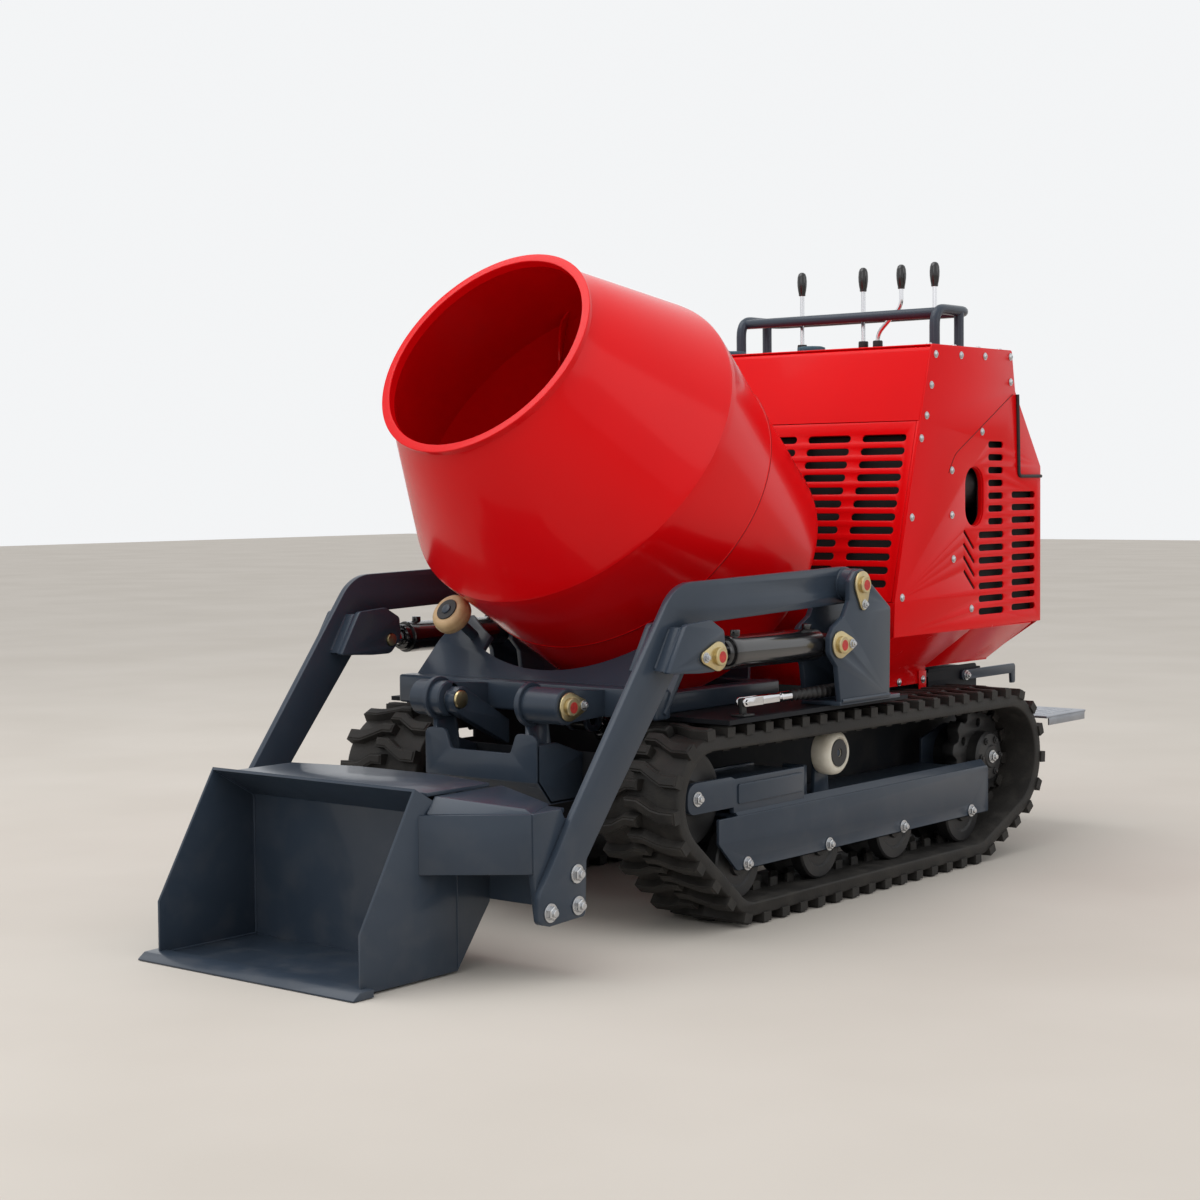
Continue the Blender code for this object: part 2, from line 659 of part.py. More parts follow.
def chassis_side(side, inner):
    """Deck, tilt cylinder lug and platform lug of one side."""
    deck = side_block("deck", side, (inner + 0.001, DECK_HALF), (DECK_FRONT + 0.001, DECK_REAR - 0.001),
                      (DECK_TOP - DECK_PLATE, DECK_TOP))
    lug_x = TILT_BARREL_RADIUS + 0.002
    tilt_lug = plate_yz("tilt_lug", rounded([(TILT_BASE_Y - 0.028, TILT_BASE_Z + 0.028, 0.02),
                                             (TILT_BASE_Y - 0.028, TILT_BASE_Z - 0.028, 0.02),
                                             (TILT_BASE_Y + 0.05, TILT_BASE_Z - 0.028, 0),
                                             (TILT_BASE_Y + 0.05, TILT_BASE_Z + 0.028, 0)]),
                        side * lug_x, side * (lug_x + 0.01))
    lug = plate_yz("platform_lug", rounded([(PLATFORM_HINGE_Y + 0.012, PLATFORM_Z + 0.012, 0.011),
                                            (CHASSIS_REAR - 0.004, PLATFORM_Z + 0.02, 0),
                                            (CHASSIS_REAR - 0.004, PLATFORM_Z - 0.05, 0),
                                            (PLATFORM_HINGE_Y + 0.012, PLATFORM_Z - 0.012, 0.011)]),
                   side * 0.200, side * 0.212, [circle(PLATFORM_HINGE_Y, PLATFORM_Z, bore(0.008, 16), 16)])
    return [deck, tilt_lug, lug]


def front_bracket():
    """Notched front plate with the two ear rings that carry the drum cradle."""
    front, back, half, low, top = -0.655, CHASSIS_FRONT - GAP, 0.163, 0.32, 0.424
    outline = rounded([(-half, low, 0), (half, low, 0), (half, top, 0.018), (0.105, top, 0.014),
                       (0.088, 0.380, 0.012), (-0.088, 0.380, 0.012), (-0.105, top, 0.014),
                       (-half, top, 0.018)])
    bracket = plate_xz("front_bracket", outline, front, front + 0.010)
    floor = plate_yz("bracket_floor", [(front, low + 0.004), (front + 0.045, 0.270), (back, 0.270), (back, 0.278),
                                       (front + 0.049, 0.278), (front + 0.009, low + 0.004)], -half, half)
    shapes = [floor]
    for side in (-1, 1):
        wall = plate_yz("bracket_wall", [(front + 0.004, 0.40), (front + 0.004, low), (front + 0.045, 0.272),
                                         (back, 0.272), (back, 0.372), (front + 0.07, 0.40)],
                        side * (half - 0.012), side * half)
        ear = plate_yz("ear", [(HINGE_Y - 0.012, 0.36), (HINGE_Y + 0.075, 0.30), (HINGE_Y + 0.046, HINGE_Z),
                               (HINGE_Y - 0.012, HINGE_Z - 0.03)],
                       side * (EAR_X - EAR_PLATE / 2), side * (EAR_X + EAR_PLATE / 2))
        web = side_block("ear_web", side, (EAR_X - EAR_PLATE / 2, half - 0.006), (HINGE_Y - 0.006, HINGE_Y + 0.05),
                         (0.31, 0.37))
        collar = cross_rod("ear_ring", side, (EAR_X - EAR_PLATE / 2, EAR_X + EAR_PLATE / 2), HINGE_Y, HINGE_Z,
                           EAR_RING, 20)
        shapes += [wall, ear, web, collar]
    fuse(bracket, *shapes)
    ear_bore = cross_rod("ear_bore", 1, (-0.3, 0.3), HINGE_Y, HINGE_Z, bore(HINGE_TUBE, 20), 20)
    return finish(carve(bracket, ear_bore), GREY)


# ---- drum and cradle ---------------------------------------------------------

def on_axis(depth, down=0.0, across=0.0):
    """A point by its depth from the mouth, its drop under the drum's axis and its x."""
    return MOUTH + DRUM_AXIS * depth + DRUM_DOWN * down + Vector((across, 0, 0))


def drum_radius(depth):
    """Outside radius of the rear cone."""
    share = (depth - CREASE_DEPTH) / (REAR_DEPTH - CREASE_DEPTH)
    return CREASE_RADIUS + share * (REAR_RADIUS - CREASE_RADIUS)


def drum():
    """The mixing drum: two cones, a dished end, a rolled rim and the drive hub."""
    wall = DRUM_WALL
    inside = [(0, wall - DRUM_END_DEPTH), (0.16, wall - DRUM_END_DEPTH),
              (0.30, wall - 0.905), (REAR_RADIUS - wall, 0.002 - REAR_DEPTH),
              (CREASE_RADIUS - wall, -CREASE_DEPTH), (MOUTH_RADIUS - 0.017, -0.020), (MOUTH_RADIUS - 0.020, 0)]
    outside = [(MOUTH_RADIUS - 0.005, 0), (MOUTH_RADIUS, -0.005), (MOUTH_RADIUS, -0.014),
               (MOUTH_RADIUS - 0.007, -0.022), (CREASE_RADIUS, -CREASE_DEPTH),
               (REAR_RADIUS, -REAR_DEPTH), (0.302, -0.911), (0.16, -DRUM_END_DEPTH - 0.002),
               (HUB_RADIUS, -DRUM_END_DEPTH - 0.002), (HUB_RADIUS, -MOTOR_PLATE_DEPTH - CRADLE_PLATE),
               (0, -MOTOR_PLATE_DEPTH - CRADLE_PLATE)]
    shell = turned("drum", inside + outside, MOUTH, -DRUM_AXIS, 36)
    return finish(shell, RED)


def support_centre(side):
    """Middle of a support roller that touches the drum."""
    depth, angle = SUPPORT_DEPTH[side], SUPPORT_ANGLE[side]
    reach = drum_radius(depth - SUPPORT_WIDTH / 2) + SUPPORT_RADIUS + 0.0006
    return on_axis(depth, reach * math.cos(angle), side * reach * math.sin(angle))


def support_roller(side):
    half = SUPPORT_WIDTH / 2
    profile = ring(SUPPORT_RADIUS, bore(0.012, 20), -half, half, 0.007)
    roller = turned(f"support_roller_{side_name(side)}", profile, support_centre(side), -DRUM_AXIS, 20)
    return finish(roller, NYLON)


def drum_frame_matrix(depth):
    """Plane across the drum's axis: local X is across, local Y is down."""
    across = Vector((1, 0, 0))
    turn = Matrix((across, DRUM_DOWN, across.cross(DRUM_DOWN))).transposed()
    return Matrix.Translation(on_axis(depth)) @ turn.to_4x4()


def arc_points(radius, low, high, steps):
    """Points round the drum's axis, in across and down distances, from angle low to high."""
    turns = [low + (high - low) * i / steps for i in range(steps + 1)]
    return [(radius * math.sin(t), radius * math.cos(t)) for t in turns]


def saddle_outline():
    """Plate under the drum: a round recess, and an ear by each end for a roller's stub."""
    left, right = -SUPPORT_ANGLE[-1], SUPPORT_ANGLE[1]
    near, far = math.radians(6.0), math.radians(7.0)
    edge = (arc_points(0.432, left - far, left + near, 2)
            + arc_points(SADDLE_RECESS, left + far + 0.03, right - far - 0.03, 9)
            + arc_points(0.424, right - near, right + far, 2))
    foot = (on_axis(SADDLE_DEPTH).z - (DECK_TOP + GAP + 0.012)) / math.cos(DRUM_TILT)
    return edge + [(0.358, 0.285), (SADDLE_HALF, 0.36), (SADDLE_HALF, foot),
                   (-SADDLE_HALF, foot), (-0.352, 0.405), (-0.321, 0.338)]


def drum_cradle():
    """Tilting cradle: rails, cross tubes, saddle, motor plate, hinge tubes and their arms."""
    low = DECK_TOP + GAP
    high = low + RAIL_HEIGHT
    foot_z = low + 0.012
    saddle_foot, motor_foot = (on_axis(depth, (on_axis(depth).z - foot_z) / math.cos(DRUM_TILT))
                               for depth in (SADDLE_DEPTH, MOTOR_PLATE_DEPTH))
    front = saddle_foot.y - 0.025
    half = SADDLE_HALF - 0.005
    cradle = block("drum_cradle", (-half, front, low), (half, front + 0.05, high + 0.020))
    shapes = []
    for side in (-1, 1):
        shapes.append(side_block("rail", side, (RAIL_OUTER - RAIL_WIDTH, RAIL_OUTER),
                                 (front + 0.01, motor_foot.y + 0.03), (low, high)))
        shapes.append(roller_pin(side))
    shapes.append(block("eye_beam", (1e-3 - RAIL_OUTER, TILT_EYE_Y - 0.02, low + 0.001),
                        (RAIL_OUTER - 1e-3, TILT_EYE_Y + 0.02, high - 0.001)))
    for side in (-1, 1):
        shapes.append(plate_yz("eye_lug", rounded([(TILT_EYE_Y - 0.026, TILT_EYE_Z - 0.026, 0.02),
                                                   (TILT_EYE_Y + 0.026, TILT_EYE_Z - 0.026, 0.02),
                                                   (TILT_EYE_Y + 0.026, high - 0.004, 0),
                                                   (TILT_EYE_Y - 0.026, high - 0.004, 0)]),
                               side * 0.022, side * 0.032))
    shapes.append(plate("saddle", [saddle_outline()], CRADLE_PLATE, drum_frame_matrix(SADDLE_DEPTH)))
    shapes.append(block("rear_beam", (1e-3 - RAIL_OUTER, motor_foot.y - 0.02, low + 0.001),
                        (RAIL_OUTER - 1e-3, motor_foot.y + 0.025, high - 0.001)))
    drop = (motor_foot - on_axis(MOTOR_PLATE_DEPTH)).length
    mount_outline = [(-0.10, -0.11), (0.10, -0.11), (0.24, drop), (-0.24, drop)]
    shapes.append(plate("motor_mount", [mount_outline], CRADLE_PLATE,
                        drum_frame_matrix(MOTOR_PLATE_DEPTH + CRADLE_PLATE / 2)))
    for start, end in ((0.09, 0.240), (-0.19, -0.050)):
        shapes.append(cross_rod("hinge_tube", 1, (start, end), HINGE_Y, HINGE_Z, HINGE_TUBE, 20))
        shapes.append(plate_yz("hinge_arm", [(HINGE_Y + 0.008, HINGE_Z + 0.036), (front + 0.03, high + 0.012),
                                             (front + 0.03, low + 0.004), (HINGE_Y - 0.008, HINGE_Z - 0.036)],
                               end - 0.016, end - 0.001))
    fuse(cradle, *shapes)
    hub_hole = rod("hub_hole", on_axis(MOTOR_PLATE_DEPTH - 0.03), on_axis(MOTOR_PLATE_DEPTH + 0.04),
                   HUB_RADIUS + 0.004, 16)
    pin_hole = cross_rod("hinge_bore", 1, (-0.3, 0.3), HINGE_Y, HINGE_Z, bore(HINGE_PIN), AXLE_SIDES)
    hang(pivot("cradle_axis", (0, HINGE_Y, HINGE_Z)), cradle)
    return finish(carve(cradle, hub_hole, pin_hole), GREY)


def roller_pin(side):
    """Stub that holds a support roller on the saddle."""
    centre = support_centre(side)
    return rod("support_pin", centre + DRUM_AXIS * side * (SUPPORT_WIDTH / 2 + 0.006),
               centre + DRUM_AXIS * (SADDLE_DEPTH - SUPPORT_DEPTH[side]), 0.012, 16)


def drum_gear_motor():
    """Gear case and hydraulic motor behind the motor plate."""
    face = MOTOR_PLATE_DEPTH + CRADLE_PLATE + GAP
    case = rod("drum_gear_motor", on_axis(face), on_axis(face + 0.075), 0.085, 24)
    motor = rod("motor_can", on_axis(face + 0.07), on_axis(face + 0.145), 0.048, 16)
    return finish(fuse(case, motor), STEEL)


def hinge_pin():
    """The cradle's hinge pin with a flange at its right end."""
    pin = cross_rod("hinge_pin", 1, (-0.190, 0.246), HINGE_Y, HINGE_Z, HINGE_PIN, AXLE_SIDES)
    flange = cross_rod("pin_flange", 1, (0.240 + GAP, 0.248), HINGE_Y, HINGE_Z, 0.034, 16)
    return finish(fuse(pin, flange), ZINC)


# ---- loader ------------------------------------------------------------------

def tower(side):
    """Two upright plates on a base flange that carry the arm's pivot and the lift cylinder."""
    base_z = DECK_TOP + GAP
    outline = [(-0.026, base_z + 0.002), (0.178, base_z + 0.002), (0.183, 0.668), (0.171, 0.676),
               (0.098, 0.728), (0.084, 0.750), (0.060, 0.762), (0.036, 0.756), (0.013, 0.735), (0.011, 0.690),
               (-0.012, 0.655), (-0.052, 0.634), (-0.070, 0.612), (-0.070, 0.575), (-0.040, 0.545)]
    holes = [circle(PIVOT_Y, PIVOT_Z, bore(PIVOT_PIN), AXLE_SIDES),
             circle(BARREL_PIN_Y, BARREL_PIN_Z, bore(CYLINDER_PIN), AXLE_SIDES)]
    inner, outer = ARM_X - TOWER_GAP / 2, ARM_X + TOWER_GAP / 2
    post = plate_yz(f"tower_{side_name(side)}", outline, side * outer, side * (outer + TOWER_PLATE), holes)
    far = plate_yz("tower_inner", outline, side * (inner - TOWER_PLATE), side * inner, holes)
    flange = side_block("tower_flange", side, (inner - TOWER_PLATE, outer + TOWER_PLATE), (-0.030, 0.225),
                        (base_z, base_z + 0.010))
    back = side_block("tower_back", side, (inner - 0.002, outer + 0.002), (0.166, 0.178), (base_z + 0.008, 0.640))
    return finish(fuse(post, far, flange, back), GREY)


def pivot_pin(side):
    """Arm pivot pin with its flange on the outer face."""
    outer = ARM_X + TOWER_GAP / 2 + TOWER_PLATE
    inner = ARM_X - TOWER_GAP / 2 - TOWER_PLATE
    pin = cross_rod(f"arm_pivot_pin_{side_name(side)}", side, (inner - 0.004, outer + 0.004), PIVOT_Y, PIVOT_Z,
                    PIVOT_PIN, AXLE_SIDES)
    flange = cross_rod("pivot_flange", side, (outer + GAP, outer + 0.008), PIVOT_Y, PIVOT_Z, 0.032, 16)
    return finish(fuse(pin, flange), ZINC)


def arm_outline():
    """Side view of a lift arm, from its pivot over the bend to the bucket's end."""
    return rounded([(PIVOT_Y + 0.030, PIVOT_Z - 0.043, 0.028), (PIVOT_Y + 0.040, PIVOT_Z + 0.041, 0.034),
                    (-0.575, 0.751, 0.110), (-0.913, 0.309, 0), (-1.014, 0.168, 0.030),
                    (-1.016, 0.112, 0.012), (-0.985, 0.104, 0.010), (-0.877, 0.109, 0.010), (-0.873, 0.219, 0.012),
                    (-0.769, 0.346, 0), (-0.500, 0.664, 0.075)], 3)


def loader_arm(side):
    """Bent arm plate with its pivot boss and the two ear plates of the cylinder."""
    low, high = ARM_X - ARM_PLATE / 2, ARM_X + ARM_PLATE / 2
    arm = plate_yz(f"loader_arm_{side_name(side)}", arm_outline(), side * low, side * high)
    boss_half = TOWER_GAP / 2 - GAP
    boss = cross_rod("arm_boss", side, (ARM_X - boss_half, ARM_X + boss_half), PIVOT_Y, PIVOT_Z, 0.036, 16)
    shapes = [boss]
    ear = rounded([(-0.660, 0.572, 0), (-0.600, 0.668, 0.012), (-0.515, 0.674, 0.010), (-0.470, 0.650, 0.012),
                   (-0.466, 0.600, 0.025), (-0.500, 0.566, 0.025), (-0.560, 0.566, 0)])
    spacer = [(-0.655, 0.576), (-0.602, 0.662), (-0.580, 0.662), (-0.600, 0.600), (-0.612, 0.568)]
    for inner in (ARM_X - TOWER_GAP / 2 - TOWER_PLATE, ARM_X + TOWER_GAP / 2):
        shapes.append(plate_yz("cylinder_ear", ear, side * inner, side * (inner + TOWER_PLATE)))
    shapes.append(plate_yz("ear_spacer", spacer, side * (ARM_X - TOWER_GAP / 2 - 0.002),
                           side * (ARM_X + TOWER_GAP / 2 + 0.002)))
    arm_bore = cross_rod("arm_bore", side, (ARM_X - 0.2, ARM_X + 0.2), PIVOT_Y, PIVOT_Z,
                         bore(PIVOT_PIN), AXLE_SIDES)
    hang(pivot("loader_axis", (side * ARM_X, PIVOT_Y, PIVOT_Z)), arm)
    return finish(carve(fuse(arm, *shapes), arm_bore), GREY)


def cylinder_pair(name, tag, base, eye, barrel_radius, rod_radius, halves, barrel_end, rod_start):
    """Barrel and rod of a hydraulic cylinder; distances run from the base pin towards the rod's eye."""
    base, eye = Vector(base), Vector(eye)
    way = (eye - base).normalized()
    length = (eye - base).length
    side_step, eye_step = Vector((halves[0], 0, 0)), Vector((halves[1], 0, 0))
    barrel = rod(f"{name}_barrel{tag}", base + way * 0.020, base + way * barrel_end, barrel_radius, 20)
    foot = rod("barrel_eye", base - side_step, base + side_step, 0.028, 16)
    pin = rod("barrel_pin", base - side_step * 0.9, base + side_step * 0.9, CYLINDER_PIN, AXLE_SIDES)
    gland = rod("barrel_gland", base + way * (barrel_end - 0.002), base + way * (barrel_end + 0.016),
                barrel_radius - 0.006, 20)
    rod_hole = rod("barrel_bore", base + way * (rod_start - 0.010), base + way * (barrel_end + 0.05),
                   bore(rod_radius), AXLE_SIDES)
    finish(carve(fuse(barrel, foot, pin, gland), rod_hole), BLACK)
    shaft = rod(f"{name}_rod{tag}", base + way * rod_start, base + way * (length - 0.012), rod_radius, AXLE_SIDES)
    eye_boss = rod("rod_eye", eye - eye_step, eye + eye_step, 0.026, 16)
    finish(fuse(shaft, eye_boss), CHROME)
    return barrel, shaft


def lift_cylinder(side):
    x = side * ARM_X
    barrel, shaft = cylinder_pair("lift", f"_{side_name(side)}", (x, BARREL_PIN_Y, BARREL_PIN_Z),
                                  (x, ROD_PIN_Y, ROD_PIN_Z), LIFT_BARREL_RADIUS, LIFT_ROD_RADIUS,
                                  (TOWER_GAP / 2 - GAP, TOWER_GAP / 2 - GAP), 0.365, 0.11)
    outer = TOWER_GAP / 2 + TOWER_PLATE
    ends = (ARM_X - outer - 0.004, ARM_X + outer + 0.004)
    fuse(barrel, cross_rod("lift_pin", side, ends, BARREL_PIN_Y, BARREL_PIN_Z, CYLINDER_PIN, AXLE_SIDES))
    hang(pivot("lift_axis", (x, BARREL_PIN_Y, BARREL_PIN_Z)), barrel, shaft)


def tilt_cylinder():
    barrel, shaft = cylinder_pair("tilt", "", (0, TILT_BASE_Y, TILT_BASE_Z), (0, TILT_EYE_Y, TILT_EYE_Z),
                                  TILT_BARREL_RADIUS, TILT_ROD_RADIUS,
                                  (TILT_BARREL_RADIUS + 0.002 - GAP, 0.022 - GAP), 0.400, 0.10)
    hang(pivot("tilt_axis", (0, TILT_BASE_Y, TILT_BASE_Z)), barrel, shaft)


def bucket():
    """Loading bucket: folded shell between two cheeks, with a bevelled lip."""
    ground, wall = BUCKET_GROUND, BUCKET_WALL
    back, shelf = BUCKET_BACK, 0.312
    cheek = [(-1.312, ground), (back, ground), (-0.950, 0.128), (-0.950, 0.200), (back, shelf), (-1.160, 0.376),
             (-1.312, 0.117)]
    fold = [(-1.310, ground + 0.0005), (back - 0.0005, ground + 0.0005), (back - 0.0005, shelf), (-1.159, 0.3755),
            (-1.1562, 0.3697), (back - wall, shelf - 0.0035), (back - wall, ground + wall),
            (-1.310, ground + wall)]
    shell = plate_yz("bucket", fold, 0.001 - BUCKET_HALF, BUCKET_HALF - 0.001)
    cheeks = [plate_yz("bucket_cheek", cheek, side * (BUCKET_HALF - wall), side * BUCKET_HALF) for side in (-1, 1)]
    lip = plate_yz("lip", [(LIP_FRONT, ground - 0.0035), (LIP_FRONT, ground + 0.001), (-1.326, ground + 0.016),
                           (-1.296, ground + 0.016), (-1.296, ground - 0.0035)], -LIP_HALF, LIP_HALF)
    return finish(fuse(shell, *cheeks, lip), GREY)


def bucket_carrier():
    """Beam behind the bucket, its wings, top plate and the two plates bolted to the arms."""
    plate_out = ARM_X - ARM_PLATE / 2 - GAP
    plate_in = plate_out - ARM_PLATE
    back = -0.950 + GAP
    beam = block("bucket_carrier", (-plate_in - 0.002, back, 0.132), (plate_in + 0.002, back + 0.065, 0.300))
    shapes = []
    for side in (-1, 1):
        cheek = [(-1.013, 0.325), (-1.012, 0.214), (-0.996, 0.106), (-0.877, 0.109), (-0.873, 0.225),
                 (-0.930, 0.325)]
        shapes.append(plate_yz("arm_plate", cheek, side * plate_in, side * plate_out))
        wing = [(side * (BUCKET_HALF + GAP), -1.153), (side * (plate_in + 0.002), -1.020),
                (side * (plate_in + 0.002), -1.008), (side * (BUCKET_HALF + GAP), -1.141)]
        shapes.append(plate_xy("wing", wing, 0.212, 0.323))
        gusset = [(side * (BUCKET_HALF + GAP), -1.075), (side * (plate_in + 0.004), -0.999),
                  (side * (plate_in + 0.004), -0.940), (side * (BUCKET_HALF + GAP), -0.940)]
        shapes.append(plate_xy("gusset", gusset, 0.314, 0.323))
        post = side_block("top_post", side, (0.20, 0.22), (-0.9497 + 0.002, -0.90), (0.29, 0.362))
        shapes.append(post)
    shapes.append(plate_xy("top_plate", [(-0.29, -1.123), (0.29, -1.123), (0.29, -0.93), (0.12, -0.90),
                                         (-0.12, -0.90), (-0.29, -0.93)], 0.356, 0.364))
    return finish(fuse(beam, *shapes), GREY)


# ---- engine cover and what is under it ---------------------------------------

def inset_line(points, depth):
    """A polyline moved sideways by depth, to its left as it runs."""
    moved = []
    for index, point in enumerate(points):
        normals = []
        for a, b in ((index - 1, index), (index, index + 1)):
            if 0 <= a and b < len(points):
                run = (Vector(points[b]) - Vector(points[a])).normalized()
                normals.append(Vector((-run.y, run.x)))
        normal = sum(normals, Vector((0, 0))).normalized()
        moved.append(tuple(Vector(point) + normal * depth / normal.dot(normals[0])))
    return moved


def folded_sheet(name, line, half):
    """Sheet folded along a line of (y, z) points, thickness to the line's left."""
    outline = list(line) + inset_line(line, COVER_SHEET)[::-1]
    return plate_yz(name, outline, -half, half)


def cover_front():
    """Front of the cover: sloping top, middle and foot."""
    top = (COVER_FRONT_TOP[0] - 0.001, COVER_FRONT_TOP[1] - COVER_SHEET - GAP)
    foot = (COVER_FRONT_FOOT[0], TRAY_TOP - TRAY_PLATE)
    line = [foot, COVER_FRONT_FOOT, COVER_FRONT_LOW, COVER_CREASE, top]
    panel = folded_sheet("cover_front", line[::-1], COVER_INNER)
    shapes = []
    for side in (-1, 1):
        shapes.append(plate_xz("corner_cut", foot_corner(side), 0.2, 0.5))
    return finish(carve(panel, *shapes), RED)


def foot_corner(side):
    """What the sloping foot of the side panels takes from the front and rear panels."""
    edge, foot_z = COVER_INNER - GAP, COVER_FRONT_FOOT[1] + 0.002
    return [(side * x, z) for x, z in ((SKIRT_INNER - GAP, 0.40), (0.6, 0.40), (0.6, foot_z), (edge, foot_z),
                                       (SKIRT_INNER - GAP, CHAMFER_BOTTOM + 0.002))]


def cover_rear():
    """Rear of the cover, down to the sloping foot."""
    top = (COVER_REAR_TOP[0] + 0.001, COVER_REAR_TOP[1] - COVER_SHEET - GAP)
    line = [top, COVER_REAR_SHOULDER, COVER_REAR_BEND, COVER_REAR_FOOT, (SKIRT_REAR, CHAMFER_BOTTOM)]
    panel = folded_sheet("cover_rear", line[::-1], COVER_INNER)
    cuts = []
    for side in (-1, 1):
        cuts.append(plate_xz("rear_corner_cut", foot_corner(side), 0.95, 1.2))
    return finish(carve(panel, *cuts), RED)


def cover_top():
    panel = block("cover_top", (-COVER_INNER, COVER_FRONT_TOP[0] + 0.001, COVER_FRONT_TOP[1] - COVER_SHEET),
                  (COVER_INNER, COVER_REAR_TOP[0] - 0.001, COVER_FRONT_TOP[1]))
    return finish(panel, RED)


def cover_side(side):
    """Side of the cover with its oval exhaust opening, sloping foot and skirt."""
    outline = [COVER_FRONT_TOP, COVER_CREASE, COVER_FRONT_LOW, COVER_FRONT_FOOT, COVER_REAR_FOOT, COVER_REAR_BEND,
               COVER_REAR_SHOULDER, COVER_REAR_TOP]
    (low_y, low_z), (high_y, high_z) = EXHAUST_LOW, EXHAUST_HIGH
    oval = rounded([(y, z, EXHAUST_ROUND) for y, z in ((low_y, low_z), (high_y, low_z), (high_y, high_z),
                                                       (low_y, high_z))], 4)
    name = f"cover_side_{side_name(side)}"
    panel = plate_yz(name, outline, side * (COVER_HALF - COVER_SHEET), side * COVER_HALF, [oval])
    foot_z = COVER_FRONT_FOOT[1]
    inner, skirt_inner = COVER_HALF - COVER_SHEET, SKIRT_HALF - COVER_SHEET
    fold = [(SKIRT_HALF, SKIRT_BOTTOM), (SKIRT_HALF, CHAMFER_BOTTOM), (COVER_HALF, foot_z),
            (COVER_HALF, foot_z + 0.008), (inner, foot_z + 0.008), (inner, foot_z + 0.002),
            (skirt_inner, CHAMFER_BOTTOM + 0.002), (skirt_inner, SKIRT_BOTTOM)]
    foot = plate_xz("side_foot", [(side * x, z) for x, z in fold], COVER_FRONT_FOOT[0] + 0.001, SKIRT_REAR)
    fuse(panel, foot)
    gap_rear = side_block("skirt_end", side, (SKIRT_HALF - 0.03, SKIRT_HALF + 0.003),
                          (SKIRT_LENGTH_END, SKIRT_REAR + 0.1), (SKIRT_BOTTOM - 0.02, CHAMFER_BOTTOM - 0.002))
    return finish(carve(panel, gap_rear), RED)


def engine():
    """Simple engine: crankcase, head and flywheel housing."""
    base = TRAY_TOP + GAP
    block_low = block("engine", (-0.17, 0.50, base), (0.15, 0.86, base + 0.30))
    head = block("engine_head", (-0.13, 0.56, base + 0.29), (0.11, 0.80, base + 0.42))
    wheel = rod("engine_wheel", (-0.01, 0.40, base + 0.16), (-0.01, 0.51, base + 0.16), 0.13, 28)
    return finish(fuse(block_low, head, wheel), ALLOY)


def muffler():
    """Silencer beside the exhaust opening, with its pipe into the engine's head."""
    base = TRAY_TOP + 0.36
    can = rod("muffler", (0.34, 0.62, 0.95), (0.34, 0.87, 0.95), 0.062, 28)
    pipe = tube("muffler_pipe", [(0.34, 0.74, 0.92), (0.34, 0.74, base), (0.11 + GAP, 0.74, base)], 0.018, 2)
    return finish(fuse(can, pipe), STEEL)


def hydraulic_tank():
    tank = block("hydraulic_tank", (-0.285, 0.52, TRAY_TOP + GAP), (-0.185, 0.92, 1.16))
    neck = rod("tank_neck", (-0.235, 0.62, 1.15), (-0.235, 0.62, COVER_FRONT_TOP[1] - COVER_SHEET - GAP), 0.026, 20)
    return finish(fuse(tank, neck), GREY)


def filler_cap(name, x, y, radius, height, paint):
    base = COVER_FRONT_TOP[1] + GAP
    profile = [(0, base + height), (radius - 0.003, base + height), (radius, base + height - 0.003), (radius, base),
               (0, base)]
    cap = turned(name, [(r, z - base) for r, z in profile], (x, y, base), (0, 0, 1), 24)
    return finish(cap, paint)


def guard_rail():
    """Closed hand rail over the levers with four legs."""
    def bend(x_sign, y_mid, y_sign):
        radius = 0.045
        cx, cy = x_sign * (RAIL_X - radius), y_mid - y_sign * radius
        start = math.atan2(y_sign, x_sign) - math.pi / 4
        turns = [start + t * math.pi / 6 for t in range(4)]
        return [(cx + radius * math.cos(turn), cy + radius * math.sin(turn), RAIL_TOP) for turn in turns]
    loop = bend(1, RAIL_REAR, 1) + bend(-1, RAIL_REAR, 1) + bend(-1, RAIL_FRONT, -1) + bend(1, RAIL_FRONT, -1)
    rail = tube("guard_rail", loop, RAIL_TUBE, 1, cyclic=True)
    legs = []
    foot = COVER_FRONT_TOP[1] + GAP
    for x in (-RAIL_X, RAIL_X):
        for y in (RAIL_FRONT + 0.05, RAIL_REAR_LEG):
            legs.append(rod("rail_leg", (x, y, foot), (x, y, RAIL_TOP), RAIL_TUBE - 0.0006, 8))
            legs.append(rod("rail_foot", (x, y, foot), (x, y, foot + 0.005), RAIL_TUBE + 0.012, 8))
    return finish(fuse(rail, *legs), GREY)


def lever(name, points):
    """Control lever: ball in its boot, bent rod and oval knob."""
    pivot_z = COVER_FRONT_TOP[1] + GAP + LEVER_BALL
    foot = Vector((points[0], LEVER_Y, pivot_z))
    top_x = points[1]
    knob_low = KNOB_TOP - KNOB_HEIGHT
    if top_x == points[0]:
        route = [foot, Vector((top_x, LEVER_Y, knob_low + 0.01))]
    else:
        route = [foot, foot + Vector((0, 0, 0.05)), Vector((top_x - 0.012, LEVER_Y, knob_low - 0.05)),
                 Vector((top_x, LEVER_Y, knob_low - 0.02)), Vector((top_x, LEVER_Y, knob_low + 0.01))]
    stem = tube("lever_stem", route, LEVER_ROD, 1)
    heights = [(0.0, 0.0), (0.70, 0.0), (0.85, 0.12), (1.0, 0.45), (0.9, 0.85), (0.45, 1.0), (0.0, 1.0)]
    profile = [(KNOB_RADIUS * r, KNOB_HEIGHT * h) for r, h in heights[::-1]]
    knob = turned(name, profile, (top_x, LEVER_Y, knob_low), (0, 0, 1), 10)
    hang(pivot("lever_axis", foot), knob)
    return finish(fuse(knob, stem, ball("lever_ball", foot, LEVER_BALL)), BLACK)


